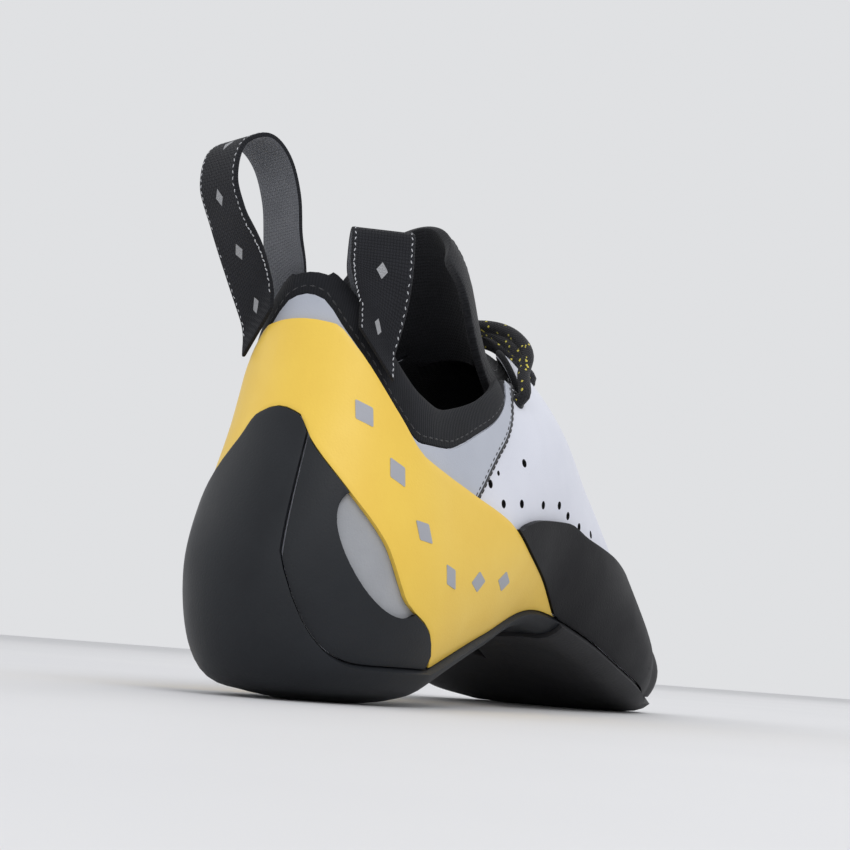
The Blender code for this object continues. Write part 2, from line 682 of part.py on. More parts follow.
def cut_window(panel):
    """Half-round opening beside the band, cut by an oval bar along the surface's normal."""
    top = on_last(WINDOW_TOP.along, level_of(WINDOW_TOP.along, WINDOW_TOP.girth))
    foot = on_last(WINDOW_FOOT.along, level_of(WINDOW_FOOT.along, WINDOW_FOOT.girth))
    middle_u = (WINDOW_TOP.along + WINDOW_FOOT.along) / 2
    middle = (top + foot) / 2
    normal = outward(middle_u, level_at_height(middle_u, middle.z))
    long_way = (top - foot).normalized()
    short_way = normal.cross(long_way).normalized()
    bpy.ops.mesh.primitive_cylinder_add(vertices=32, radius=1.0, depth=1.0)
    bar = bpy.context.active_object
    bar.name = "window_cut"
    turn = Matrix((short_way, long_way, short_way.cross(long_way))).transposed().to_4x4()
    size = Matrix.Diagonal((WINDOW_DEPTH, (top - foot).length / 2, HEEL_WIDTH / 2, 1.0))
    bar.matrix_world = Matrix.Translation(middle) @ turn @ size
    use_as_cutter(bar)
    cut = panel.modifiers.new("window", "BOOLEAN")
    cut.operation = "DIFFERENCE"
    cut.object = bar
    cut.solver = "EXACT"


def use_as_cutter(thing):
    """Keep a helper out of the shoe: its own collection, drawn as wires."""
    thing.hide_render = True
    thing.display_type = "WIRE"
    for home in list(thing.users_collection):
        home.objects.unlink(thing)
    CUTTERS.objects.link(thing)


def build_heel_sole():
    """Heel rubber underfoot, carried forward as an arm along the outer side of the arch."""
    def high_left(u):
        if abs(u) < ARCH_BACK[0].along:
            return SOLE_EDGE
        return edge(ARCH_BACK, u, -SEAM_GAP / 2)

    places = left_run(0.0, ARM_FRONT)
    left = laid(places, lambda u: 0.0, high_left, SOLE_ROWS, SEAM_GAP)
    right = laid([-u for u in places], lambda u: 0.0, lambda u: SOLE_EDGE, SOLE_ROWS, SEAM_GAP)
    thing = overlay("heel_sole", [sheet(left), sheet(right)], HEEL_SOLE_THICK, BLACK_RUBBER)
    grind(thing)


def build_outsole():
    """Forefoot outsole, its back edge cut slantwise along the band's end."""
    start = ARM_FRONT + SEAM_GAP / LAST_LENGTH
    right = laid(right_run(start, 1.0), lambda u: 0.0, lambda u: SOLE_EDGE, SOLE_ROWS, SEAM_GAP)

    def low_left(u):
        if abs(u) > ARCH_FRONT[-1].along:
            return 0.0
        return edge(ARCH_FRONT, u, SEAM_GAP / 2)

    start = ARCH_FRONT[0].along + SEAM_GAP / LAST_LENGTH
    left = laid(left_run(start, 1.0), low_left, lambda u: SOLE_EDGE, SOLE_ROWS, SEAM_GAP)
    thing = overlay("outsole", [sheet(right), sheet(left)], OUTSOLE_THICK, BLACK_RUBBER)
    grind(thing)


def grind(thing):
    """Flat spot where the rubber stands on the floor."""
    bpy.ops.mesh.primitive_cube_add(size=1.0)
    floor = bpy.context.active_object
    floor.name = "floor_cut_" + thing.name
    floor.scale = (LAST_LENGTH, 2 * LAST_LENGTH, TOE_HEIGHT)
    floor.location = (0.0, LAST_LENGTH / 2, -TOE_HEIGHT / 2)
    use_as_cutter(floor)
    cut = thing.modifiers.new("floor", "BOOLEAN")
    cut.operation = "DIFFERENCE"
    cut.object = floor
    cut.solver = "EXACT"


def build_rand():
    """Rubber rand round the forefoot, from the band's upper edge over the toe."""
    first, foot = RAND_TOP[0].along, BAND_TOP[-1].along

    def low(u):
        bottom = shifted(u, SOLE_EDGE, SEAM_GAP / 2)
        if abs(u) > foot:
            return bottom
        return max(shifted(u, bottom, SEAM_GAP), edge(BAND_TOP, u, SEAM_GAP / 2))

    def high(u):
        return edge(RAND_TOP, u)

    ring = right_run(first, 1.0) + left_run(first, 1.0)[::-1][1:]
    columns = laid(ring, low, high, RAND_ROWS, SEAM_GAP)
    return overlay("toe_rand", [sheet(columns)], RAND_THICK, BLACK_RUBBER)


def tongue_columns():
    """Rows across the tongue, from under the vamp to its free end above the cuff."""
    depth = UPPER_WALL + 2 * SEAM_GAP
    rows = []
    under = [u for u in RIGHT if SPINE_START <= u <= THROAT_END + TONGUE_TUCK]
    for along in under[::-1]:
        gap = (straight(THROAT, "gap", along) + TONGUE_LAP) * BALL_WIDTH
        row = []
        for j in range(TONGUE_COLUMNS + 1):
            across = (2 * j / TONGUE_COLUMNS - 1) * gap
            row.append(point_beside_spine(along, across, -depth))
        rows.append(row)
    middle = on_last(SPINE_START, TOP).x
    for tip in TONGUE_TIP:
        centre = Vector((middle, tip.along * LAST_LENGTH, tip.height * INSTEP_HEIGHT - depth))
        tilt = math.radians(tip.tilt)
        drop = Vector((0, -math.cos(tilt), -math.sin(tilt))) * tip.drop * HEEL_WIDTH
        row = []
        for j in range(TONGUE_COLUMNS + 1):
            turn = (2 * j / TONGUE_COLUMNS - 1) * math.radians(TONGUE_WRAP)
            side = Vector((math.sin(turn) * tip.half * HEEL_WIDTH, 0, 0))
            row.append(centre + side + drop * (1 - math.cos(turn)))
        rows.append(row)
    return rows


def point_beside_spine(along, across, offset):
    """Point off the last at a distance across from its spine."""
    u = along if across >= 0 else -along
    return off_last(u, beside_spine(u, abs(across)), offset)


def build_tongue():
    """Tongue under the throat, its top rising in front of the ankle."""
    mesh = sheet(tongue_columns())
    bmesh.ops.recalc_face_normals(mesh, faces=mesh.faces)
    aim_outward(mesh)
    thing = add_object("tongue", mesh, BLACK_FABRIC)
    thicken(thing, TONGUE_THICK, inward=True)
    return thing


def tube(name, points, radius, finish, sides=2):
    """Cord through the points, as a mesh with welded caps."""
    data = bpy.data.curves.new(name, "CURVE")
    data.dimensions = "3D"
    data.bevel_depth = radius
    data.bevel_resolution = sides
    data.use_fill_caps = True
    line = data.splines.new("POLY")
    line.points.add(len(points) - 1)
    for knot, point in zip(line.points, points):
        knot.co = (*point, 1.0)
    thing = bpy.data.objects.new(name, data)
    PARTS.objects.link(thing)
    add_material(thing, finish)
    return thing


def lace_point(along, across):
    """Point of a lace lying on the upper beside or over the throat."""
    return point_beside_spine(along, across, SEAM_GAP + LACE_RADIUS)


def eyelet_place(k):
    """Share of the last's length at one pair of eyelets, from the top down."""
    top, low = THROAT_CORNER + EYELET_FIRST, THROAT_END - EYELET_LAST
    return top + (low - top) * k / (LACE_ROWS - 1)


def eyelet_out(along):
    """Distance of an eyelet from the spine."""
    return straight(THROAT, "gap", along) * BALL_WIDTH + EYELET_INSET


def build_lace_crossings():
    """The lace where it crosses the tongue: diagonals between the pairs of eyelets."""
    pieces = []
    for k in range(LACE_ROWS - 1):
        upper, lower = eyelet_place(k), eyelet_place(k + 1)
        for sign in (-1, 1):
            points = []
            for j in range(CROSSING_STEPS + 1):
                t = j / CROSSING_STEPS
                along = upper * (1 - t) + lower * t
                reach = eyelet_out(upper) * (1 - t) - (eyelet_out(lower) + LACE_RADIUS / 2) * t
                points.append(lace_point(along, sign * reach) + Vector((0, 0, LACE_RADIUS / 6 * (sign + 1))))
            pieces.append(tube("crossing_%d_%d" % (k, sign), points, LACE_RADIUS, BLACK_FABRIC, 1))
    bar = [lace_point(eyelet_place(LACE_ROWS - 1), eyelet_out(eyelet_place(LACE_ROWS - 1)) * (j / 3 - 1))
           for j in range(7)]
    pieces.append(tube("crossing_low", bar, LACE_RADIUS, BLACK_FABRIC, 1))
    whole = mesh_from_curve(pieces[0], "lace_crossings")
    for piece in pieces[1:]:
        other = mesh_from_curve(piece, piece.name + "_mesh")
        use_as_cutter(other)
        join = whole.modifiers.new("join", "BOOLEAN")
        join.operation = "UNION"
        join.object = other
        join.solver = "EXACT"
    return whole


def build_lace_top():
    """The slack lace from one top eyelet to the other, over the tongue."""
    spine = on_last((THROAT_CORNER + SPINE_START) / 2, TOP).x
    arc = [Vector((spine + row.right * BALL_WIDTH, row.along * LAST_LENGTH, row.height * INSTEP_HEIGHT))
           for row in LACE_ARC]
    ends = [off_last(u, level_of(u, TOP_EYELET.girth), SEAM_GAP + LACE_RADIUS)
            for u in (TOP_EYELET.along, -TOP_EYELET.along)]
    route = [ends[0]] + arc + [ends[1]]
    knots = list(range(len(route)))
    points = []
    for j in range(LACE_ARC_STEPS * (len(route) - 1) + 1):
        points.append(Vector([smooth(knots, [point[axis] for point in route], j / LACE_ARC_STEPS)
                              for axis in range(3)]))
    tube("lace_top", points, LACE_RADIUS, BLACK_FABRIC)


def mesh_from_curve(thing, name):
    """Mesh object in the place of a curve, its caps welded."""
    shape = bpy.data.meshes.new_from_object(thing.evaluated_get(bpy.context.evaluated_depsgraph_get()))
    mesh = bmesh.new()
    mesh.from_mesh(shape)
    bmesh.ops.remove_doubles(mesh, verts=mesh.verts, dist=1e-6)
    mesh.to_mesh(shape)
    mesh.free()
    made = bpy.data.objects.new(name, shape)
    made.matrix_world = thing.matrix_world
    PARTS.objects.link(made)
    bpy.data.objects.remove(thing)
    return made


def ribbon(name, points, ways, finish):
    """Flat webbing along a path, its width across the path."""
    mesh = bmesh.new()
    rings = []
    for k, point in enumerate(points):
        ahead = points[min(k + 1, len(points) - 1)] - points[max(k - 1, 0)]
        wide = ways[k].normalized()
        thin = ahead.cross(wide).normalized()
        corners = []
        for a, b in ((-1, -1), (1, -1), (1, 1), (-1, 1)):
            corners.append(mesh.verts.new(
                point + wide * (a * WEBBING_WIDTH / 2) + thin * (b * WEBBING_THICK / 2)))
        rings.append(corners)
    for low, high in zip(rings, rings[1:]):
        for j in range(4):
            mesh.faces.new((low[j], low[(j + 1) % 4], high[(j + 1) % 4], high[j]))
    mesh.faces.new(rings[0][::-1])
    mesh.faces.new(rings[-1])
    bmesh.ops.recalc_face_normals(mesh, faces=mesh.faces)
    return add_object(name, mesh, finish)


def build_loops():
    """Two webbing pull loops, sewn either side of the cuff at the back."""
    for name, u, table in (("pull_loop_left", -LEFT_LOOP_PLACE, OPEN_LOOP),
                           ("pull_loop_right", RIGHT_LOOP_PLACE, FLAT_LOOP)):
        half = WEBBING_WIDTH / LAST_LENGTH / 4
        ends = [on_last(place, edge(CUFF_TOP, place)) for place in (abs(u) - half, abs(u) + half)]
        along_rim = (ends[1] - ends[0]).normalized()
        along_rim.x *= math.copysign(1, u)
        level_way = Vector((along_rim.x, along_rim.y, 0)).normalized()
        out = Vector((level_way.y, -level_way.x, 0)) * math.copysign(1, u)
        anchor = off_last(u, edge(CUFF_TOP, u), CUFF_THICK / 2 - UPPER_WALL)
        knots = list(range(len(table)))
        points = []
        ways = []
        for j in range(LOOP_STEPS * (len(table) - 1) + 1):
            reach = smooth(knots, [row.out for row in table], j / LOOP_STEPS)
            rise = smooth(knots, [row.up for row in table], j / LOOP_STEPS)
            free = min(max(rise * 2, 0.0), 1.0)
            points.append(anchor + out * (reach * LOOP_EYE) + Vector((0, 0, rise * LOOP_HEIGHT)))
            ways.append(along_rim * (1 - free) + level_way * free)
        ribbon(name, points, ways, BLACK_FABRIC)


def stand_on_floor():
    """Bring the middle of the shoe's box over the origin, its sole on the floor."""
    bpy.context.view_layer.update()
    graph = bpy.context.evaluated_depsgraph_get()
    low = Vector((math.inf,) * 3)
    high = Vector((-math.inf,) * 3)
    for thing in PARTS.objects:
        if thing.name in CORDS:
            continue
        for corner in thing.evaluated_get(graph).data.vertices:
            low = Vector(map(min, low, corner.co))
            high = Vector(map(max, high, corner.co))
    shift = Vector((-(low.x + high.x) / 2, -(low.y + high.y) / 2, -low.z))
    for thing in list(PARTS.objects) + list(CUTTERS.objects):
        thing.location += shift


for thing in list(bpy.data.objects):
    bpy.data.objects.remove(thing)
PARTS = bpy.data.collections.new("climbing_shoe")
CUTTERS = bpy.data.collections.new("cutters")
bpy.context.scene.collection.children.link(PARTS)
bpy.context.scene.collection.children.link(CUTTERS)
build_upper()
build_insole()
build_cuff()
build_band()
build_heel_strip()
build_heel_panels()
build_heel_sole()
build_outsole()
build_rand()
build_tongue()
build_lace_crossings()
build_lace_top()
build_loops()
stand_on_floor()
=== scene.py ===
"""A right climbing shoe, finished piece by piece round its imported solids.

The form under every piece is the shoe's last, a function of two numbers: the share of its
length, signed by side, and the level up its section. A piece is a grid laid on the last,
given its wall with modifiers and its finish with procedural nodes. Lengths are in metres,
+Y from heel to toe, +X the wearer's right, +Z up.
"""
import logging
import math
from dataclasses import dataclass, field
from enum import Enum
from functools import lru_cache
from typing import Callable, Iterable, NamedTuple, Sequence

import bmesh
import bpy
import numpy as np
from mathutils import Matrix, Vector
from mathutils.bvhtree import BVHTree


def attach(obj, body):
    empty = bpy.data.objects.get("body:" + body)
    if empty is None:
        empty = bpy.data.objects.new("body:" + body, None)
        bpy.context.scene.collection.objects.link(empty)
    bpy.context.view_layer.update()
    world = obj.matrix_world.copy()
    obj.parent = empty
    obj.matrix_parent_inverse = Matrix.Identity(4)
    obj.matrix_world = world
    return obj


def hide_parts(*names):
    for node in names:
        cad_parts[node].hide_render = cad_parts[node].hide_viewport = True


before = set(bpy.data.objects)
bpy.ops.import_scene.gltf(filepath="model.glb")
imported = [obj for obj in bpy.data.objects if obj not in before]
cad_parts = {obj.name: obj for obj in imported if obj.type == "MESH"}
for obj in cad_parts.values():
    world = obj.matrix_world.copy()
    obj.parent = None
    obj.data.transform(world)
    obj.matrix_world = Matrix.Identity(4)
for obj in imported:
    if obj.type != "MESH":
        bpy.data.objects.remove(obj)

LOG = logging.getLogger("climbing_shoe")
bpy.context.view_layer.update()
BODY = "root"

# The last's place in the frame: the solids were moved by this much to stand over the origin
PLACE = Vector((0.00988, -0.111305, 0.0))

# Sizes that the solids share
LAST_LENGTH, BALL_WIDTH, HEEL_WIDTH = 0.223, 0.069, 0.054
HEEL_DEPTH, TOE_DEPTH = 0.038, 0.027
COLLAR_HEIGHT, INSTEP_HEIGHT, TOE_HEIGHT, ARCH_RISE = 0.094, 0.095, 0.037, 0.020
SEAM_GAP, FLOOR_GRIND, UPPER_WALL = 0.0004, 0.0005, 0.0018
OUTSOLE_THICK, HEEL_SOLE_THICK = 0.0036, 0.0028
HEEL_FAN = HEEL_DEPTH / LAST_LENGTH
TOE_FAN = 1.0 - TOE_DEPTH / LAST_LENGTH
THROAT_CORNER, THROAT_END, SPINE_START = 0.386, 0.735, 0.440
BEND, FEATHER, TOP, SOLE_EDGE, LASTING_EDGE = 0.70, 2.0, 5.0, 2.14, 0.95
NORMAL_STEP, NORMAL_STEP_LEVEL = 0.0015, 0.02
FAN_SQUARENESS = 2.1


class Section(NamedTuple):
    """One section of the last: its place, what its sizes follow, and its half outlines."""

    along: float
    ball: float
    lean: float
    arch: float
    heights: tuple[float, float, float]
    right: tuple[float, ...]
    left: tuple[float, ...]


# heights: shares of collar, instep and toe height. right and left: half width and height of
# the feather, the belly and the shoulder, then the half width at the top.
SECTIONS = [
    Section(0.170, 0.00, 0.000, 0.00, (0.84, 0.00, 0.00),
            (0.81, 0.06, 1.00, 0.30, 0.89, 0.70, 0.74), (0.81, 0.06, 1.00, 0.30, 0.85, 0.70, 0.74)),
    Section(0.305, 0.10, 0.015, 0.60, (0.50, 0.34, 0.00),
            (0.77, 0.03, 1.02, 0.30, 0.97, 0.70, 0.77), (0.68, 0.06, 0.94, 0.34, 0.90, 0.71, 0.74)),
    Section(0.440, 0.35, 0.043, 1.00, (0.00, 1.00, 0.00),
            (0.74, 0.02, 1.01, 0.26, 0.91, 0.68, 0.03), (0.66, 0.05, 0.86, 0.29, 0.82, 0.67, -0.03)),
    Section(0.574, 0.70, 0.100, 0.78, (0.00, 0.78, 0.22),
            (0.87, 0.01, 1.05, 0.24, 0.83, 0.66, 0.06), (0.76, 0.02, 0.92, 0.25, 0.76, 0.64, -0.06)),
    Section(0.686, 0.95, 0.160, 0.42, (0.00, 0.50, 0.50),
            (0.94, 0.02, 1.08, 0.26, 0.79, 0.65, 0.06), (0.86, 0.02, 0.98, 0.26, 0.74, 0.63, -0.06)),
    Section(0.798, 1.00, 0.203, 0.12, (0.00, 0.19, 0.81),
            (0.93, 0.05, 1.04, 0.26, 0.70, 0.68, 0.00), (0.90, 0.05, 0.97, 0.31, 0.71, 0.69, 0.00)),
    Section(0.879, 1.00, 0.232, 0.00, (0.00, 0.00, 1.00),
            (0.81, 0.05, 0.90, 0.27, 0.64, 0.70, 0.00), (0.73, 0.05, 0.79, 0.32, 0.58, 0.72, 0.00)),
]
ALONG = [row.along for row in SECTIONS]
HEEL_PROFILE = [(0.87, 0.075), (1.00, 0.30), (0.72, 0.70), (0.56, 1.00)]
TOE_PROFILE = [(0.92, 0.13), (1.00, 0.32), (0.66, 0.74), (0.0, 1.00)]

# Edges: share of the length, then girth (0 to 1 across the bottom, above that 1 plus a share
# of the collar's height)
Table = Sequence[tuple[float, float]]
COLLAR_RIM: Table = [(0.00, 1.940), (0.020, 1.928), (0.047, 1.86), (0.085, 1.755), (0.111, 1.67), (0.141, 1.61),
                     (0.185, 1.613), (0.213, 1.634), (0.240, 1.664), (0.280, 1.71), (0.318, 1.775), (0.350, 1.845)]
CUFF_TOP: Table = [(0.00, 2.00), (0.020, 1.988), (0.047, 1.94), (0.085, 1.855), (0.111, 1.775), (0.141, 1.715),
                   (0.175, 1.69), (0.206, 1.705), (0.240, 1.73), (0.280, 1.775), (0.314, 1.820)]
BAND_TOP: Table = [(0.00, 1.873), (0.038, 1.862), (0.064, 1.805), (0.111, 1.66), (0.141, 1.575), (0.211, 1.52),
                   (0.296, 1.468), (0.354, 1.404), (0.430, 1.34), (0.498, 1.26)]
BAND_BOTTOM: Table = [(0.00, 1.655), (0.021, 1.635), (0.034, 1.58), (0.068, 1.48), (0.107, 1.36), (0.132, 1.235),
                      (0.158, 1.18), (0.180, 1.05)]
ARCH_BACK: Table = [(0.185, 1.00), (0.198, 0.97), (0.215, 0.93), (0.260, 0.82), (0.327, 0.66), (0.395, 0.52),
                    (0.448, 0.40), (0.470, 0.22), (0.495, 0.03), (0.615, 0.03)]
ARCH_FRONT: Table = [(0.498, 1.00), (0.506, 0.90), (0.516, 0.78), (0.530, 0.62), (0.574, 0.30), (0.605, 0.12),
                     (0.615, 0.03)]
RAND_TOP: Table = [(0.314, 1.436), (0.340, 1.47), (0.377, 1.49), (0.448, 1.50), (0.511, 1.47), (0.565, 1.45),
                   (0.605, 1.435), (0.686, 1.39), (0.798, 1.325), (0.879, 1.275), (1.00, 1.265)]
PATCH_SEAM: Table = [(0.230, 1.49), (0.251, 1.54), (0.291, 1.64), (0.327, 1.725), (0.350, 1.80), (0.366, 1.84)]
THROAT: Table = [(0.386, 0.215), (0.440, 0.150), (0.520, 0.110), (0.620, 0.090), (0.690, 0.075), (0.722, 0.045),
                 (0.735, 0.0)]
WINDOW_TOP, WINDOW_FOOT, WINDOW_DEPTH = (0.068, 1.462), (0.143, 1.215), 0.0095
STRIP_HALF, ARM_FRONT = 0.030, 0.505


def bent(t: float, span: float, values: tuple[float, float], slopes: tuple[float, float]) -> float:
    """Cubic run between two values, from the slopes at its ends, at a share of its span."""
    return ((2 * t ** 3 - 3 * t ** 2 + 1) * values[0] + (t ** 3 - 2 * t ** 2 + t) * slopes[0] * span
            + (3 * t ** 2 - 2 * t ** 3) * values[1] + (t ** 3 - t ** 2) * slopes[1] * span)


def smooth(knots: Sequence[float], values: Sequence[float], at: float) -> float:
    """Cubic curve through the knots, its slopes taken from the knots beside each.

    Args:
        knots: rising places of the values.
        values: the values there.
        at: where the curve is read.

    Returns:
        The curve's value.
    """
    last = len(knots) - 1
    if at <= knots[0]:
        return values[0]
    if at >= knots[last]:
        return values[last]
    i = max(k for k in range(last) if knots[k] <= at)

    def slope(k: int) -> float:
        """Slope at one knot."""
        if k in (0, last):
            j = min(k, last - 1)
            return (values[j + 1] - values[j]) / (knots[j + 1] - knots[j])
        before, after = knots[k] - knots[k - 1], knots[k + 1] - knots[k]
        rise_before = (values[k] - values[k - 1]) / before
        rise_after = (values[k + 1] - values[k]) / after
        return (rise_before * after + rise_after * before) / (before + after)

    span = knots[i + 1] - knots[i]
    return bent((at - knots[i]) / span, span, (values[i], values[i + 1]), (slope(i), slope(i + 1)))


def straight(table: Table, at: float) -> float:
    """Straight runs between the rows of a table, held level past its ends."""
    if at <= table[0][0]:
        return table[0][1]
    for low, high in zip(table, table[1:]):
        if at <= high[0]:
            t = (at - low[0]) / (high[0] - low[0])
            return low[1] * (1 - t) + high[1] * t
    return table[-1][1]


def section_points(row: Section, side: int) -> list[tuple[float, float]]:
    """The five guide points of one section: bottom, feather, belly, shoulder, top."""
    half = (HEEL_WIDTH * (1 - row.ball) + BALL_WIDTH * row.ball) / 2
    shape = row.right if side > 0 else row.left
    middle = -row.lean * BALL_WIDTH
    under = HEEL_SOLE_THICK * (1 - row.ball) + OUTSOLE_THICK * row.ball
    bottom = under + SEAM_GAP - FLOOR_GRIND + row.arch * ARCH_RISE
    top = sum(share * size for share, size in zip(row.heights, (COLLAR_HEIGHT, INSTEP_HEIGHT, TOE_HEIGHT)))
    points = [(middle, bottom)]
    for k in range(3):
        points.append((middle + side * half * shape[2 * k], bottom + (top - bottom) * shape[2 * k + 1]))
    shift = half * shape[6] * side if row.along < SPINE_START else half * row.right[6]
    return points + [(middle + shift, top)]


GUIDES = {side: [section_points(row, side) for row in SECTIONS] for side in (1, -1)}


def side_points(along: float, side: int) -> list[Vector]:
    """The guide points of a section across the last."""
    return [Vector((smooth(ALONG, [row[k][0] for row in GUIDES[side]], along), along * LAST_LENGTH,
                    smooth(ALONG, [row[k][1] for row in GUIDES[side]], along))) for k in range(5)]


def fan_points(along: float, side: int) -> list[Vector]:
    """The guide points of a section in the round of the heel or the toe."""
    heel = along < HEEL_FAN
    base = side_points(HEEL_FAN if heel else TOE_FAN, side)
    turn = (HEEL_FAN - along) / HEEL_FAN if heel else (along - TOE_FAN) / (1 - TOE_FAN)
    angle = min(turn, 1.0) * math.pi / 2
    across = abs(math.cos(angle)) ** (2 / FAN_SQUARENESS)
    reach = math.sin(angle) ** (2 / FAN_SQUARENESS)
    weight = math.sin(angle) ** 2
    profile = HEEL_PROFILE if heel else TOE_PROFILE
    depth, height = (-HEEL_DEPTH, COLLAR_HEIGHT) if heel else (TOE_DEPTH, TOE_HEIGHT)
    middle = base[0]
    found = [middle.copy()]
    for point, (out, up) in zip(base[1:], profile):
        found.append(Vector((middle.x + (point.x - middle.x) * across, middle.y + depth * out * reach,
                             point.z * (1 - weight) + height * up * weight)))
    return found


@lru_cache(maxsize=None)
def curve(along: float, side: int) -> tuple[list[float], list[Vector]]:
    """Knots and guide points of one section, with one more point past each end."""
    fan = along < HEEL_FAN or along > TOE_FAN
    guide = fan_points(along, side) if fan else side_points(along, side)
    foot, feather = guide[0], guide[1]
    bend = foot + (feather - foot) * BEND
    bend.z = foot.z + (feather.z - foot.z) * BEND ** 3
    points = [foot, bend] + guide[1:]
    before = Vector((2 * foot.x - bend.x, 2 * foot.y - bend.y, bend.z))
    rim, shoulder = points[-1], points[-2]
    closed = min(1.0, max(0.0, (along - HEEL_FAN) / (SPINE_START - HEEL_FAN)))
    if along > TOE_FAN:
        closed = math.cos(min((along - TOE_FAN) / (1 - TOE_FAN), 1.0) * math.pi / 2) ** 2
    after = 2 * rim - shoulder
    after.z = after.z * (1 - closed) + shoulder.z * closed
    points = [before] + points + [after]
    knots = [0.0]
    for low, high in zip(points, points[1:]):
        knots.append(knots[-1] + max((high - low).length, 1e-6) ** 0.5)
    return knots, points


def on_last(u: float, level: float) -> Vector:
    """Point of the last at a signed share of its length and a level of its section."""
    knots, points = curve(round(abs(u), 7), 1 if u >= 0 else -1)
    level = min(max(level, 0.0), TOP)
    k = min(int(level), 4) + 1
    t = knots[k] + (knots[k + 1] - knots[k]) * (level - (k - 1))
    p0, p1, p2, p3 = points[k - 1:k + 3]
    t0, t1, t2, t3 = knots[k - 1:k + 3]
    a1 = p0 * ((t1 - t) / (t1 - t0)) + p1 * ((t - t0) / (t1 - t0))
    a2 = p1 * ((t2 - t) / (t2 - t1)) + p2 * ((t - t1) / (t2 - t1))
    a3 = p2 * ((t3 - t) / (t3 - t2)) + p3 * ((t - t2) / (t3 - t2))
    b1 = a1 * ((t2 - t) / (t2 - t0)) + a2 * ((t - t0) / (t2 - t0))
    b2 = a2 * ((t3 - t) / (t3 - t1)) + a3 * ((t - t1) / (t3 - t1))
    return b1 * ((t2 - t) / (t2 - t1)) + b2 * ((t - t1) / (t2 - t1))


def outward(u: float, level: float) -> Vector:
    """Unit normal of the last, the same from both sides on its bottom and top lines."""
    normal = side_normal(u, level)
    if level < NORMAL_STEP_LEVEL or level > TOP - NORMAL_STEP_LEVEL:
        normal += side_normal(-u if u else -NORMAL_STEP, level)
    return normal.normalized()


def side_normal(u: float, level: float) -> Vector:
    """Unit normal of one side of the last, pointing out of the shoe."""
    step_u, step_level = NORMAL_STEP, NORMAL_STEP_LEVEL
    side = 1 if u >= 0 else -1
    low, high = max(abs(u) - step_u, 0.0), min(abs(u) + step_u, 1.0)
    along = on_last(side * high, level) - on_last(side * low if low else side * 1e-9, level)
    up = on_last(u, level + step_level) - on_last(u, level - step_level)
    normal = along.cross(up) * side
    if normal.length < 1e-12 or along.length < 1e-5:
        return Vector((0, 0, -1 if level < FEATHER else 1))
    if abs(u) < step_u or abs(u) > 1 - step_u:
        normal.x = 0.0
    return normal.normalized()


def off_last(u: float, level: float, distance: float) -> Vector:
    """Point in the frame at a distance outside the last."""
    return on_last(u, level) + outward(u, level) * distance + PLACE


def level_at_height(u: float, height: float) -> float:
    """Level above the feather edge where the section reaches a height."""
    low, high = FEATHER, TOP
    if on_last(u, low).z >= height:
        return low
    for _ in range(20):
        middle = (low + high) / 2
        low, high = (middle, high) if on_last(u, middle).z < height else (low, middle)
    return (low + high) / 2


def level_of(u: float, girth: float) -> float:
    """Level of a girth: across the bottom up to 1, by height above that."""
    if girth <= 1.0:
        return girth / BEND if girth < BEND else 1 + (girth - BEND) / (1 - BEND)
    return level_at_height(u, (girth - 1) * COLLAR_HEIGHT)


def shifted(u: float, level: float, distance: float) -> float:
    """The level that lies a distance further up the section."""
    step = NORMAL_STEP_LEVEL
    speed = (on_last(u, level + step) - on_last(u, level - step)).length / (2 * step)
    return level + distance / max(speed, 1e-4)


def eased(table: Table, at: float) -> float:
    """Smooth run through the rows of a table that never passes its own high and low points.

    Args:
        table: places and values.
        at: where the run is read.

    Returns:
        The value there.
    """
    last = len(table) - 1
    if last == 0 or at <= table[0][0]:
        return table[0][1]
    if at >= table[last][0]:
        return table[last][1]
    k = max(j for j in range(last) if table[j][0] <= at)
    rises = [(b[1] - a[1]) / (b[0] - a[0]) for a, b in zip(table, table[1:])]

    def slope(j: int) -> float:
        """Slope at one row, level at the heel's middle and at a high or low point."""
        if j == 0:
            return 0.0 if table[0][0] == 0.0 else rises[0]
        if j == last:
            return rises[-1]
        before, after = rises[j - 1], rises[j]
        return 2 * before * after / (before + after) if before * after > 0 else 0.0

    span = table[k + 1][0] - table[k][0]
    return bent((at - table[k][0]) / span, span, (table[k][1], table[k + 1][1]), (slope(k), slope(k + 1)))


def edge(table: Table, u: float, shift: float = 0.0) -> float:
    """Level of an edge, moved up the section by a distance."""
    level = level_of(u, eased(table, abs(u)))
    return shifted(u, level, shift) if shift else level


def beside_spine(along: float, across: float) -> float:
    """Level on a side at a distance across from the last's spine."""
    side = 1 if across >= 0 else -1
    spine = on_last(along, TOP).x
    low, high = 3.0, TOP
    for _ in range(20):
        middle = (low + high) / 2
        wide = abs(on_last(side * along, middle).x - spine) > abs(across)
        low, high = (middle, high) if wide else (low, middle)
    return (low + high) / 2


def rim_level(u: float) -> float:
    """Level of the upper's edge at the collar and the throat."""
    along, side = abs(u), 1 if u > 0 else -1
    if along >= THROAT_END:
        return TOP
    if along >= THROAT_CORNER:
        return beside_spine(along, side * straight(THROAT, along) * BALL_WIDTH)
    last_row = COLLAR_RIM[-1][0]
    if along <= last_row:
        return edge(COLLAR_RIM, u)
    start = edge(COLLAR_RIM, side * last_row)
    end = beside_spine(THROAT_CORNER, side * THROAT[0][1] * BALL_WIDTH)
    t = (along - last_row) / (THROAT_CORNER - last_row)
    return start * (1 - t) + end * t


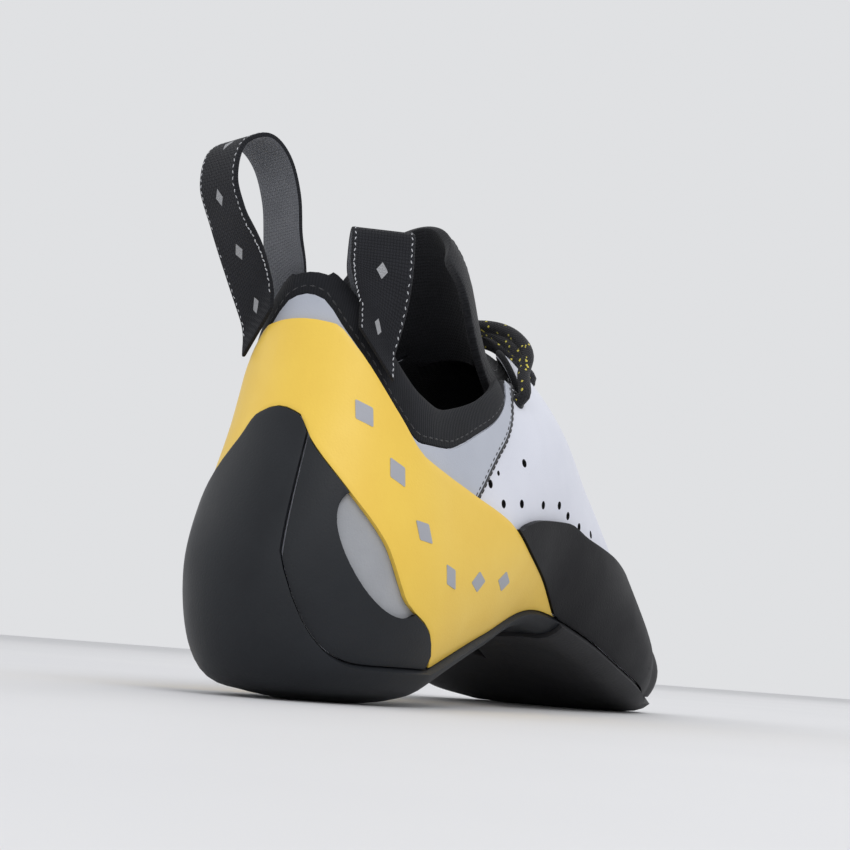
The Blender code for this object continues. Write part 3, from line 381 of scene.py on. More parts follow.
def stations(start: float, end: float, step: float, extra: Iterable[float] = ()) -> list[float]:
    """Signed shares from start to end, even along the feather edge.

    Args:
        start: first share, negative on the left.
        end: last share.
        step: distance between two stations.
        extra: shares that have a station of their own.

    Returns:
        The shares in order.
    """
    count = 500
    marks = [start + (end - start) * k / count for k in range(count + 1)]
    length = [0.0]
    for low, high in zip(marks, marks[1:]):
        length.append(length[-1] + (on_last(high, FEATHER) - on_last(low, FEATHER)).length)
    steps = max(2, round(length[-1] / step))
    found = list(np.interp(np.linspace(0, length[-1], steps + 1), length, marks))
    inner = [u for u in extra if min(start, end) < u < max(start, end)]
    near = step / LAST_LENGTH / 3
    kept = [u for u in found[1:-1] if all(abs(u - place) > near for place in inner)]
    return sorted([float(start), float(end)] + kept + inner, reverse=end < start)


# Modelling, by operators on one selected object at a time

def choose(thing: bpy.types.Object) -> None:
    """Select one object alone and make it the active one."""
    bpy.ops.object.select_all(action="DESELECT")
    thing.select_set(True)
    bpy.context.view_layer.objects.active = thing


def added(operator: Callable, **settings: object) -> bpy.types.Object:
    """The object that a primitive's operator adds, with nothing selected before."""
    bpy.ops.object.select_all(action="DESELECT")
    operator(**settings)
    return bpy.context.active_object


def apply_modifier(thing: bpy.types.Object, kind: str, **settings: object) -> None:
    """Put a modifier on an object and apply it.

    Args:
        thing: the object.
        kind: the modifier's type.
        settings: the modifier's values by name.
    """
    choose(thing)
    modifier = thing.modifiers.new(kind.lower(), kind)
    for name, value in settings.items():
        setattr(modifier, name, value)
    bpy.ops.object.modifier_apply(modifier=modifier.name)


def in_edit_mode(thing: bpy.types.Object, *steps: Callable[[], object]) -> None:
    """Run edit operators on all of an object's mesh."""
    choose(thing)
    bpy.ops.object.mode_set(mode="EDIT")
    for step in steps:
        bpy.ops.mesh.select_all(action="SELECT")
        step()
    bpy.ops.object.mode_set(mode="OBJECT")


def merge() -> None:
    """Weld the selected points that coincide."""
    bpy.ops.mesh.remove_doubles(threshold=3e-6)
    bpy.ops.mesh.dissolve_degenerate(threshold=1e-6)


def flip() -> None:
    """Turn the selected faces round."""
    bpy.ops.mesh.flip_normals()


def round_shading(thing: bpy.types.Object, angle: float = 42.0) -> None:
    """Shade an object smooth, apart from its sharp edges."""
    choose(thing)
    bpy.ops.object.shade_smooth_by_angle(angle=math.radians(angle))


Columns = list[list[Vector]]


def laid_grid(name: str, columns: Columns, facing: Vector | None = None, weld: bool = True) -> bpy.types.Object:
    """A grid primitive laid through columns of points, its UV map in metres.

    Args:
        name: the piece's name.
        columns: points, one list for each place along the piece.
        facing: rough direction of the middle face's normal.
        weld: merge the points that coincide.

    Returns:
        The open sheet.
    """
    nx, ny = len(columns) - 1, len(columns[0]) - 1
    thing = added(bpy.ops.mesh.primitive_grid_add, x_subdivisions=nx, y_subdivisions=ny, size=1.0)
    thing.name = thing.data.name = name
    points = np.array([[tuple(point) for point in column] for column in columns])
    middle = ny // 2
    run = np.concatenate([[0.0], np.cumsum(np.linalg.norm(np.diff(points[:, middle], axis=0), axis=1))])
    rise = np.concatenate([np.zeros((nx + 1, 1)),
                           np.cumsum(np.linalg.norm(np.diff(points, axis=1), axis=2), axis=1)], axis=1)
    place = np.empty(len(thing.data.vertices) * 3)
    thing.data.vertices.foreach_get("co", place)
    place = place.reshape(-1, 3)
    i = np.rint((place[:, 0] + 0.5) * nx).astype(int)
    j = np.rint((place[:, 1] + 0.5) * ny).astype(int)
    thing.data.vertices.foreach_set("co", points[i, j].ravel())
    corner = np.empty(len(thing.data.loops), dtype=np.int32)
    thing.data.loops.foreach_get("vertex_index", corner)
    flat = np.stack([run[i], rise[i, j]], axis=1)[corner]
    thing.data.uv_layers[0].data.foreach_set("uv", flat.ravel())
    thing.data.update()
    if facing is not None:
        a, b = points[nx // 2, middle], points[min(nx // 2 + 1, nx), middle]
        c = points[nx // 2, min(middle + 1, ny)]
        if Vector(np.cross(b - a, c - a)).dot(facing) < 0:
            in_edit_mode(thing, flip)
    if weld:
        in_edit_mode(thing, merge)
    return thing


def wall(thing: bpy.types.Object, thickness: float, inward: bool = False, lining: bool = False,
         bevel: float = 0.0004, segments: int = 2, thinned_by: str = "") -> bpy.types.Object:
    """Give an open sheet its thickness and rounded edges.

    Args:
        thing: the sheet.
        thickness: the wall's thickness.
        inward: the sheet is the outer face, and not the inner one.
        lining: the wall's far side takes the object's second material.
        bevel: width of the rounded edge, 0 for none.
        segments: facets of the rounded edge.
        thinned_by: vertex group that holds the share of the thickness, none for all of it.

    Returns:
        The closed piece.
    """
    apply_modifier(thing, "SOLIDIFY", thickness=thickness, offset=-1.0 if inward else 1.0,
                   use_even_offset=False, material_offset=1 if lining else 0, vertex_group=thinned_by)
    if bevel:
        apply_modifier(thing, "BEVEL", width=bevel, segments=segments, limit_method="ANGLE",
                       angle_limit=math.radians(50), use_clamp_overlap=True, harden_normals=False)
    round_shading(thing)
    return thing


def even_levels(u: float, low: float, high: float, rows: int) -> list[float]:
    """Levels from low to high, evenly spaced along the section."""
    marks = np.linspace(low, high, 25)
    points = [on_last(u, level) for level in marks]
    length = [0.0]
    for a, b in zip(points, points[1:]):
        length.append(length[-1] + (b - a).length)
    if length[-1] < 1e-9:
        return [low] * (rows + 1)
    return list(np.interp(np.linspace(0, length[-1], rows + 1), length, marks))


def soften_tip(sheet: bpy.types.Object, start: float, rounds: int = 8) -> bpy.types.Object:
    """Round off a sheet's point at the toe.

    Args:
        sheet: the sheet.
        start: share of the length where the rounding starts.
        rounds: smoothing steps.

    Returns:
        The sheet.
    """
    from_y = start * LAST_LENGTH + PLACE.y
    group = sheet.vertex_groups.new(name="tip")
    for vertex in sheet.data.vertices:
        share = (vertex.co.y - from_y) / ((1.0 - start) * LAST_LENGTH)
        if share > 0:
            group.add([vertex.index], min(share * 2, 1.0), "REPLACE")
    apply_modifier(sheet, "SMOOTH", factor=0.5, iterations=rounds, vertex_group=group.name)
    sheet.vertex_groups.clear()
    return sheet


Rise = Callable[[float, float, float], float]


def laid(places: Sequence[float], low: Callable[[float], float], high: Callable[[float], float], rows: int,
         offset: float, relief: Rise | None = None) -> Columns:
    """Columns of points on the last between two edges.

    Args:
        places: signed shares of the length.
        low: level of the lower edge at a share.
        high: level of the upper edge at a share.
        rows: faces from the lower to the upper edge.
        offset: distance outside the last.
        relief: extra distance from share, level and the share of the way up.

    Returns:
        The columns in the frame.
    """
    columns = []
    for u in places:
        start = low(u)
        end = max(high(u), start)
        column = []
        for j, level in enumerate(even_levels(u, start, end, rows)):
            extra = relief(u, level, j / rows) if relief else 0.0
            column.append(off_last(u, level, offset + extra))
        columns.append(column)
    return columns


def both_sides(start: float, end: float, step: float, extra: Iterable[float] = ()) -> list[float]:
    """Stations from the left through the heel to the right."""
    extra = list(extra)
    return [-u for u in stations(start, end, step, extra)][::-1] + stations(0.0, end, step, extra)[1:]


def walk(route: Sequence[tuple[float, float]], step: float, offset: float) -> list[tuple[Vector, Vector, Vector]]:
    """Even places along a line drawn on the last.

    Args:
        route: share and level of the line's points.
        step: distance between two places.
        offset: distance outside the last.

    Returns:
        Point, normal and direction at each place.
    """
    fine = []
    for (u0, l0), (u1, l1) in zip(route, route[1:]):
        for k in range(12):
            t = k / 12
            fine.append((u0 * (1 - t) + u1 * t, l0 * (1 - t) + l1 * t))
    fine.append(tuple(route[-1]))
    points = [off_last(u, level, offset) for u, level in fine]
    length = np.concatenate([[0.0], np.cumsum([(b - a).length for a, b in zip(points, points[1:])])])
    count = max(1, round(length[-1] / step))
    found = []
    for want in np.linspace(0, length[-1], count + 1):
        u = float(np.interp(want, length, [f[0] for f in fine]))
        level = float(np.interp(want, length, [f[1] for f in fine]))
        ahead = min(want + step / 4, length[-1])
        back = max(want - step / 4, 0.0)
        tip = Vector([float(np.interp(ahead, length, [p[k] for p in points])) for k in range(3)])
        tail = Vector([float(np.interp(back, length, [p[k] for p in points])) for k in range(3)])
        found.append((off_last(u, level, offset), outward(u, level), (tip - tail).normalized()))
    return found


def frames_along(points: Sequence[Vector], up: Vector) -> list[tuple[Vector, Vector]]:
    """Side and up directions along a path, carried from point to point without twist."""
    found = []
    for k in range(len(points)):
        ahead = (points[min(k + 1, len(points) - 1)] - points[max(k - 1, 0)]).normalized()
        side = ahead.cross(up)
        side = side.normalized() if side.length > 1e-6 else ahead.orthogonal().normalized()
        up = side.cross(ahead).normalized()
        found.append((side, up))
    return found


def cord_tube(name: str, points: Sequence[Vector], radius: float, sides: int = 12,
              squeeze: float = 1.0) -> bpy.types.Object:
    """A cord rolled from a grid round a path, its ends closed, UV in metres round and along.

    Args:
        name: the piece's name.
        points: the cord's middle line.
        radius: the cord's radius.
        sides: facets round the cord.
        squeeze: height of the section as a share of its width.

    Returns:
        The closed cord.
    """
    columns = []
    for point, (side, up) in zip(points, frames_along(points, Vector((0.05, 0.1, 1.0)))):
        ring = []
        for k in range(sides + 1):
            turn = 2 * math.pi * k / sides
            ring.append(point + side * (math.cos(turn) * radius) + up * (math.sin(turn) * radius * squeeze))
        columns.append(ring)
    thing = laid_grid(name, columns)
    in_edit_mode(thing, lambda: bpy.ops.mesh.fill_holes(sides=0),
                 lambda: bpy.ops.mesh.normals_make_consistent(inside=False))
    round_shading(thing, 60)
    return thing


def through(route: Sequence[Vector], step: float) -> list[Vector]:
    """Even points of a smooth curve through a route's own points."""
    knots = list(range(len(route)))
    fine = [Vector([smooth(knots, [p[axis] for p in route], j / 16) for axis in range(3)])
            for j in range(16 * (len(route) - 1) + 1)]
    length = np.concatenate([[0.0], np.cumsum([(b - a).length for a, b in zip(fine, fine[1:])])])
    wanted = np.linspace(0, length[-1], max(2, round(length[-1] / step)) + 1)
    return [Vector([float(np.interp(w, length, [p[axis] for p in fine])) for axis in range(3)]) for w in wanted]


def scatter(name: str, shape: bpy.types.Object, places: Iterable[Matrix]) -> bpy.types.Object:
    """Copies of one small shape as a single mesh.

    Args:
        name: the piece's name.
        shape: the shape, which is removed.
        places: where each copy goes.

    Returns:
        The piece.
    """
    mesh = bmesh.new()
    for place in places:
        start = len(mesh.verts)
        mesh.from_mesh(shape.data)
        mesh.verts.ensure_lookup_table()
        bmesh.ops.transform(mesh, matrix=place, verts=mesh.verts[start:])
    data = bpy.data.meshes.new(name)
    mesh.to_mesh(data)
    mesh.free()
    bpy.data.objects.remove(shape)
    thing = bpy.data.objects.new(name, data)
    bpy.context.scene.collection.objects.link(thing)
    round_shading(thing, 60)
    return thing


def facing_matrix(point: Vector, normal: Vector, ahead: Vector, size: Sequence[float]) -> Matrix:
    """Place of a copy whose X runs along a line and whose Z leaves the surface."""
    across = normal.cross(ahead).normalized()
    forward = across.cross(normal).normalized()
    turn = Matrix((forward, across, normal)).transposed().to_4x4()
    return Matrix.Translation(point) @ turn @ Matrix.Diagonal((*size, 1.0))


def stitches(name: str, places: Sequence[tuple[Vector, Vector, Vector]], length: float,
             radius: float) -> bpy.types.Object:
    """A row of stitches: a short thread at each place, sunk a little at its ends."""
    shape = added(bpy.ops.mesh.primitive_uv_sphere_add, segments=6, ring_count=5, radius=0.5)
    return scatter(name, shape, [facing_matrix(p, n, d, (length, 2 * radius, 2 * radius)) for p, n, d in places])


# Finishes

Colour = tuple[float, float, float]


class Graph:
    """A node tree with short ways to add, set and join nodes."""

    def __init__(self, tree: bpy.types.NodeTree) -> None:
        """Keep the tree."""
        self.tree = tree

    def add(self, kind: str, settings: dict | None = None, **sockets: object) -> bpy.types.Node:
        """A node with its settings and its input values.

        Args:
            kind: the node's type.
            settings: the node's own properties.
            sockets: inputs by name, spaces as underscores: a value, or an output to join.

        Returns:
            The node.
        """
        node = self.tree.nodes.new(kind)
        for name, value in (settings or {}).items():
            setattr(node, name, value)
        for name, value in sockets.items():
            self.give(node, name.replace("_", " "), value)
        return node

    def give(self, node: bpy.types.Node, name: str | int, value: object) -> None:
        """Set or join one input."""
        socket = node.inputs[name]
        if isinstance(value, bpy.types.NodeSocket):
            self.tree.links.new(value, socket)
        elif isinstance(value, tuple) and len(value) == 3 and socket.type == "RGBA":
            socket.default_value = (*value, 1.0)
        else:
            socket.default_value = value

    def math(self, operation: str, *values: object) -> bpy.types.NodeSocket:
        """The result of one sum on numbers or outputs."""
        node = self.tree.nodes.new("ShaderNodeMath")
        node.operation = operation
        for k, value in enumerate(values):
            self.give(node, k, value)
        return node.outputs[0]

    def blend(self, share: object, low: object, high: object) -> bpy.types.NodeSocket:
        """A colour between two."""
        node = self.tree.nodes.new("ShaderNodeMix")
        node.data_type = "RGBA"
        self.give(node, 0, share)
        self.give(node, 6, low)
        self.give(node, 7, high)
        return node.outputs[2]

    def spread(self, value: object, low: float, high: float, out_low: float = 0.0,
               out_high: float = 1.0) -> bpy.types.NodeSocket:
        """A value moved from one range to another, held at its ends."""
        node = self.tree.nodes.new("ShaderNodeMapRange")
        for k, entry in enumerate((value, low, high, out_low, out_high)):
            self.give(node, k, entry)
        return node.outputs[0]


def group(name: str, inputs: dict[str, float], outputs: Sequence[str], fill: Callable) -> bpy.types.NodeTree:
    """A shader node group, made once.

    Args:
        name: the group's name.
        inputs: its numbers and their usual values.
        outputs: the values that it puts out.
        fill: a function of the graph and the inputs that returns the outputs.

    Returns:
        The group.
    """
    if name in bpy.data.node_groups:
        return bpy.data.node_groups[name]
    tree = bpy.data.node_groups.new(name, "ShaderNodeTree")
    for entry, value in inputs.items():
        tree.interface.new_socket(entry, in_out="INPUT", socket_type="NodeSocketFloat").default_value = value
    for entry in outputs:
        tree.interface.new_socket(entry, in_out="OUTPUT", socket_type="NodeSocketFloat")
    graph = Graph(tree)
    start, end = tree.nodes.new("NodeGroupInput"), tree.nodes.new("NodeGroupOutput")
    for k, value in enumerate(fill(graph, start.outputs)):
        graph.give(end, k, value)
    return tree


def fill_grain(g: Graph, given: bpy.types.NodeInputs) -> list:
    """Fine pores and slow blotches of a moulded or coated surface."""
    place = g.add("ShaderNodeTexCoord").outputs["Object"]
    fine = g.add("ShaderNodeTexNoise", Vector=place, Scale=given["Pores"], Detail=3.0, Roughness=0.6)
    slow = g.add("ShaderNodeTexNoise", Vector=place, Scale=given["Blotches"], Detail=4.0, Roughness=0.55)
    cells = g.add("ShaderNodeTexVoronoi", Vector=place, Scale=given["Pores"])
    height = g.math("ADD", g.math("MULTIPLY", fine.outputs["Fac"], 0.6),
                    g.math("MULTIPLY", g.spread(cells.outputs["Distance"], 0.0, 0.5), 0.4))
    return [height, g.spread(slow.outputs["Fac"], 0.34, 0.68)]


def fill_scuffs(g: Graph, given: bpy.types.NodeInputs) -> list:
    """Thin rubbed streaks and spots of dust, in patches."""
    place = g.add("ShaderNodeTexCoord").outputs["Object"]
    turned = g.add("ShaderNodeMapping", Vector=place)
    turned.inputs["Scale"].default_value = (1.0, 0.22, 1.6)
    turned.inputs["Rotation"].default_value = (0.5, 0.2, 0.3)
    streak = g.add("ShaderNodeTexNoise", Vector=turned.outputs[0], Scale=given["Scale"], Detail=5.0, Roughness=0.7)
    where = g.add("ShaderNodeTexNoise", Vector=place, Scale=38.0, Detail=2.0)
    lines = g.spread(streak.outputs["Fac"], 0.60, 0.74)
    return [g.math("MULTIPLY", lines, g.spread(where.outputs["Fac"], 0.48, 0.66))]


def fill_weave(g: Graph, given: bpy.types.NodeInputs) -> list:
    """Threads that pass over and under each other, on the UV map."""
    flat = g.add("ShaderNodeSeparateXYZ", Vector=g.add("ShaderNodeTexCoord").outputs["UV"])
    turn = [g.math("MULTIPLY", flat.outputs[k], g.math("DIVIDE", math.pi, given["Thread"])) for k in (0, 1)]
    wave = [g.math("ABSOLUTE", g.math("SINE", value)) for value in turn]
    over = g.spread(g.math("MULTIPLY", g.math("SINE", turn[0]), g.math("SINE", turn[1])), -0.15, 0.15)
    height = g.math("ADD", g.math("MULTIPLY", wave[0], over),
                    g.math("MULTIPLY", wave[1], g.math("SUBTRACT", 1.0, over)))
    return [height, over]


def fill_ribs(g: Graph, given: bpy.types.NodeInputs) -> list:
    """Knitted ribs that run up the piece, with loops along each."""
    flat = g.add("ShaderNodeSeparateXYZ", Vector=g.add("ShaderNodeTexCoord").outputs["UV"])
    place = g.add("ShaderNodeTexCoord").outputs["Object"]
    fuzz = g.add("ShaderNodeTexNoise", Vector=place, Scale=2600.0, Detail=2.0)
    across = g.math("MULTIPLY", flat.outputs[0], g.math("DIVIDE", 2 * math.pi, given["Rib"]))
    rib = g.spread(g.math("SINE", across), -1.0, 1.0)
    loop = g.math("ABSOLUTE", g.math("SINE", g.math("ADD", g.math("MULTIPLY", flat.outputs[1], g.math(
        "DIVIDE", 2 * math.pi, given["Rib"])), g.math("MULTIPLY", across, 0.5))))
    height = g.math("ADD", g.math("ADD", g.math("MULTIPLY", rib, 0.6), g.math("MULTIPLY", loop, 0.25)),
                    g.math("MULTIPLY", fuzz.outputs["Fac"], 0.3))
    return [height, rib]


def fill_braid(g: Graph, given: bpy.types.NodeInputs) -> list:
    """Strands that wind both ways round a cord, and a rare coloured pick."""
    flat = g.add("ShaderNodeSeparateXYZ", Vector=g.add("ShaderNodeTexCoord").outputs["UV"])
    size = g.math("DIVIDE", 2 * math.pi, given["Strand"])
    along, around = g.math("MULTIPLY", flat.outputs[0], size), g.math("MULTIPLY", flat.outputs[1], size)
    one = g.math("SINE", g.math("ADD", along, around))
    two = g.math("SINE", g.math("SUBTRACT", along, around))
    height = g.math("MAXIMUM", g.math("ABSOLUTE", one), g.math("ABSOLUTE", two))
    cell = g.add("ShaderNodeTexWhiteNoise", {"noise_dimensions": "2D"}, Vector=g.add(
        "ShaderNodeCombineXYZ", X=g.math("FLOOR", g.math("DIVIDE", g.math("ADD", along, around), math.pi)),
        Y=g.math("FLOOR", g.math("DIVIDE", g.math("SUBTRACT", along, around), math.pi))).outputs[0])
    pick = g.math("MULTIPLY", g.math("GREATER_THAN", cell.outputs[0], given["Plain share"]),
                  g.spread(height, 0.25, 0.6))
    return [height, pick]


def fill_diamonds(g: Graph, given: bpy.types.NodeInputs) -> list:
    """A row of small plain diamonds down the middle of a strap."""
    flat = g.add("ShaderNodeSeparateXYZ", Vector=g.add("ShaderNodeTexCoord").outputs["UV"])
    along = g.math("SUBTRACT", g.math("FRACT", g.math("DIVIDE", flat.outputs[0], given["Repeat"])), 0.5)
    across = g.math("SUBTRACT", flat.outputs[1], given["Middle"])
    reach = g.math("ADD", g.math("DIVIDE", g.math("ABSOLUTE", g.math("MULTIPLY", along, given["Repeat"])),
                                 given["Length"]),
                   g.math("DIVIDE", g.math("ABSOLUTE", across), given["Width"]))
    return [g.math("LESS_THAN", reach, 1.0)]


GRAIN = ({"Pores": 1400.0, "Blotches": 60.0}, ("Height", "Blotch"), fill_grain)
SCUFFS = ({"Scale": 420.0}, ("Streak",), fill_scuffs)
WEAVE = ({"Thread": 0.0006}, ("Height", "Over"), fill_weave)
RIBS = ({"Rib": 0.0012}, ("Height", "Rib"), fill_ribs)
BRAID = ({"Strand": 0.0018, "Plain share": 0.96}, ("Height", "Pick"), fill_braid)
DIAMONDS = ({"Repeat": 0.0125, "Middle": 0.007, "Length": 0.0019, "Width": 0.0013}, ("Mark",), fill_diamonds)


def use(graph: Graph, name: str, kind: tuple, **values: float) -> bpy.types.NodeOutputs:
    """Place a shared effect in a material with its own values.

    Args:
        graph: the material's graph.
        name: the effect's name.
        kind: its inputs, outputs and filling.
        values: inputs that differ from the usual ones, spaces as underscores.

    Returns:
        The effect's outputs.
    """
    node = graph.tree.nodes.new("ShaderNodeGroup")
    node.node_tree = group(name, *kind)
    for entry, value in values.items():
        node.inputs[entry.replace("_", " ")].default_value = value
    return node.outputs


class Cloth(Enum):
    """How a fabric's surface is made."""

    WOVEN = "woven"
    RIBBED = "ribbed"
    BRAIDED = "braided"


def start_material(name: str) -> tuple[bpy.types.Material, Graph, bpy.types.Node]:
    """An empty material, its graph and its Principled shader."""
    material = bpy.data.materials.new(name)
    material.use_nodes = True
    graph = Graph(material.node_tree)
    return material, graph, material.node_tree.nodes["Principled BSDF"]


def add_bump(graph: Graph, shader: bpy.types.Node, height: bpy.types.NodeSocket, depth: float) -> None:
    """Join a height to the shader through a bump of a real depth."""
    bump = graph.add("ShaderNodeBump", Height=height, Distance=depth, Strength=1.0)
    graph.give(shader, "Normal", bump.outputs[0])


@dataclass(frozen=True)
class Rubber:
    """Moulded or cut rubber: fine pores, slow blotches, rubbed streaks."""

    name: str
    base: Colour
    rubbed: Colour
    roughness: float = 0.55
    pores: float = 1500.0
    depth: float = 0.00005
    scuff: float = 0.5
    blotch: float = 0.35
    coat: float = 0.0
    specular: float = 0.5

    def material(self) -> bpy.types.Material:
        """The finish as a material."""
        material, g, shader = start_material(self.name)
        grain = use(g, "grain", GRAIN, Pores=self.pores, Blotches=55.0)
        streak = use(g, "scuffs", SCUFFS)
        shade = g.math("MULTIPLY", grain[1], self.blotch)
        wear = g.math("MULTIPLY", streak[0], self.scuff)
        colour = g.blend(g.math("MAXIMUM", shade, wear), self.base, self.rubbed)
        g.give(shader, "Base Color", colour)
        rough = g.math("ADD", g.math("MULTIPLY", grain[1], 0.12), g.math("MULTIPLY", wear, 0.2))
        g.give(shader, "Roughness", g.math("ADD", rough, self.roughness - 0.06))
        shader.inputs["Coat Weight"].default_value = self.coat
        shader.inputs["Specular IOR Level"].default_value = self.specular
        shader.inputs["Coat Roughness"].default_value = 0.35
        add_bump(g, shader, grain[0], self.depth)
        return material


@dataclass(frozen=True)
class Microfibre:
    """Coated synthetic: even colour with soft mottling and a very fine nap."""

    name: str
    base: Colour
    shade: Colour
    roughness: float = 0.62
    depth: float = 0.00004

    def material(self) -> bpy.types.Material:
        """The finish as a material."""
        material, g, shader = start_material(self.name)
        grain = use(g, "grain", GRAIN, Pores=2400.0, Blotches=34.0)
        dust = use(g, "scuffs", SCUFFS, Scale=300.0)
        mottle = g.math("ADD", g.math("MULTIPLY", grain[1], 0.55), g.math("MULTIPLY", dust[0], 0.35))
        g.give(shader, "Base Color", g.blend(mottle, self.base, self.shade))
        g.give(shader, "Roughness", g.spread(grain[1], 0.0, 1.0, self.roughness - 0.07, self.roughness + 0.07))
        shader.inputs["Sheen Weight"].default_value = 0.12
        shader.inputs["Sheen Roughness"].default_value = 0.5
        add_bump(g, shader, grain[0], self.depth)
        return material


@dataclass(frozen=True)
class Fabric:
    """Woven, ribbed or braided textile on the piece's UV map."""

    name: str
    base: Colour
    light: Colour
    cloth: Cloth = Cloth.WOVEN
    thread: float = 0.0006
    depth: float = 0.00012
    roughness: float = 0.85
    sheen: float = 0.25
    pick: Colour | None = None
    mark: Colour | None = None

    def material(self) -> bpy.types.Material:
        """The finish as a material."""
        material, g, shader = start_material(self.name)
        if self.cloth is Cloth.RIBBED:
            height, lift = use(g, "ribs", RIBS, Rib=self.thread)[:]
        elif self.cloth is Cloth.BRAIDED:
            height, lift = use(g, "braid", BRAID, Strand=self.thread)[:]
        else:
            height, lift = use(g, "weave", WEAVE, Thread=self.thread)[:]
        grain = use(g, "grain", GRAIN, Pores=3200.0, Blotches=90.0)
        share = g.math("ADD", g.math("MULTIPLY", height, 0.55), g.math("MULTIPLY", grain[1], 0.35))
        colour = g.blend(share, self.base, self.light)
        if self.pick:
            colour = g.blend(lift, colour, self.pick)
        if self.mark:
            colour = g.blend(use(g, "diamonds", DIAMONDS)[0], colour, self.mark)
        g.give(shader, "Base Color", colour)
        g.give(shader, "Roughness", g.spread(height, 0.0, 1.0, self.roughness, self.roughness - 0.12))
        shader.inputs["Sheen Weight"].default_value = self.sheen
        shader.inputs["Specular IOR Level"].default_value = 0.22
        shader.inputs["Sheen Roughness"].default_value = 0.45
        whole = g.math("ADD", height, g.math("MULTIPLY", grain[0], 0.35))
        add_bump(g, shader, whole, self.depth)
        return material


BLACK_RUBBER = Rubber("black_rubber", (0.0090, 0.0105, 0.0135), (0.024, 0.027, 0.032), roughness=0.52,
                      specular=0.26)
RAND_RUBBER = Rubber("rand_rubber", (0.0040, 0.0040, 0.0055), (0.013, 0.013, 0.016), roughness=0.55, specular=0.16)
SOLE_RUBBER = Rubber("sole_rubber", (0.0100, 0.0100, 0.0120), (0.034, 0.034, 0.038), roughness=0.60, pores=900.0,
                     depth=0.00008, scuff=0.8, specular=0.35)
YELLOW_RUBBER = Rubber("yellow_rubber", (0.83, 0.560, 0.072), (0.72, 0.43, 0.045), roughness=0.50, scuff=0.22,
                       blotch=0.26, coat=0.08, depth=0.00003)
GREY_RUBBER = Rubber("grey_rubber", (0.35, 0.36, 0.385), (0.24, 0.25, 0.27), roughness=0.6, scuff=0.4, blotch=0.5)
PALE_UPPER = Microfibre("pale_microfibre", (0.68, 0.695, 0.77), (0.58, 0.60, 0.68))
GREY_PATCH = Microfibre("grey_microfibre", (0.45, 0.475, 0.54), (0.36, 0.385, 0.45))
LINING = Fabric("dark_lining", (0.003, 0.003, 0.0035), (0.010, 0.010, 0.012), thread=0.0008, sheen=0.03)
KNIT = Fabric("black_knit", (0.0035, 0.004, 0.0055), (0.013, 0.014, 0.018), Cloth.RIBBED, 0.0007, 0.00010, sheen=0.04)
TONGUE_KNIT = Fabric("tongue_knit", (0.0045, 0.0045, 0.0055), (0.020, 0.021, 0.025), Cloth.WOVEN, 0.0008, 0.00010,
                     sheen=0.10)
STRAP = Fabric("black_webbing", (0.0050, 0.0055, 0.0075), (0.019, 0.020, 0.025), Cloth.WOVEN, 0.0007, 0.00014,
               sheen=0.05, mark=(0.34, 0.345, 0.36))
STRAP_BACK = Fabric("grey_webbing", (0.095, 0.100, 0.115), (0.185, 0.192, 0.212), Cloth.WOVEN, 0.0007, 0.00014)
LACE = Fabric("braided_lace", (0.0055, 0.0055, 0.0065), (0.026, 0.026, 0.030), Cloth.BRAIDED, 0.0016, 0.00022,
              sheen=0.12, pick=(0.66, 0.57, 0.09))
FOOTBED = Fabric("footbed_felt", (0.040, 0.041, 0.045), (0.090, 0.092, 0.100), Cloth.WOVEN, 0.0011, 0.00012)
DARK_THREAD = Fabric("dark_thread", (0.012, 0.012, 0.014), (0.045, 0.046, 0.052), Cloth.BRAIDED, 0.0006, 0.00005)
WHITE_THREAD = Fabric("white_thread", (0.44, 0.45, 0.48), (0.66, 0.67, 0.70), Cloth.BRAIDED, 0.0006, 0.00005)
GREY_PRINT = Rubber("grey_print", (0.35, 0.36, 0.40), (0.30, 0.31, 0.34), roughness=0.55, scuff=0.2, depth=0.00002)


@lru_cache(maxsize=None)
def finish_material(finish: Rubber | Microfibre | Fabric) -> bpy.types.Material:
    """The material of a finish, made once."""
    return finish.material()


def dress(thing: bpy.types.Object, *finishes: Rubber | Microfibre | Fabric) -> bpy.types.Object:
    """Give a piece its materials, in the order of its slots."""
    thing.data.materials.clear()
    for finish in finishes:
        thing.data.materials.append(finish_material(finish))
    return thing


def settle(thing: bpy.types.Object, slot: str, *nodes: str) -> bpy.types.Object:
    """Let a finished piece ride on the shoe, in the place of the solids that it stands for."""
    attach(thing, BODY)
    if nodes:
        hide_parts(*nodes)
    LOG.info("%s: %d faces", thing.name, len(thing.data.polygons))
    return thing


# Sub-assemblies

HEEL_CORE, TOE_CORE = Vector((0.006, -0.065, 0.038)), Vector((-0.006, 0.080, 0.018))


def outside(thing: bpy.types.Object) -> bpy.types.Object:
    """Turn an open sheet's faces so that they look away from the inside of the shoe."""
    data = thing.data
    score = 0.0
    for face in data.polygons:
        along = min(max((face.center.y - HEEL_CORE.y) / (TOE_CORE.y - HEEL_CORE.y), 0.0), 1.0)
        score += face.normal.dot(face.center - HEEL_CORE.lerp(TOE_CORE, along)) * face.area
    if score < 0:
        in_edit_mode(thing, flip)
    return thing


def joined(name: str, sheets: Sequence[bpy.types.Object]) -> bpy.types.Object:
    """One open sheet of several, welded where their edges coincide."""
    bpy.ops.object.select_all(action="DESELECT")
    for sheet in sheets:
        sheet.select_set(True)
    bpy.context.view_layer.objects.active = sheets[0]
    bpy.ops.object.join()
    thing = bpy.context.active_object
    thing.name = thing.data.name = name
    in_edit_mode(thing, merge)
    return thing


def grind(thing: bpy.types.Object) -> None:
    """Cut a piece of sole flat where it stands on the floor."""
    in_edit_mode(thing, lambda: bpy.ops.mesh.bisect(plane_co=(0, 0, 0.00001), plane_no=(0, 0, 1), use_fill=True,
                                                    clear_inner=True))
    round_shading(thing)


def flat_level(u: float) -> float:
    """The middle line of the bottom."""
    return 0.0


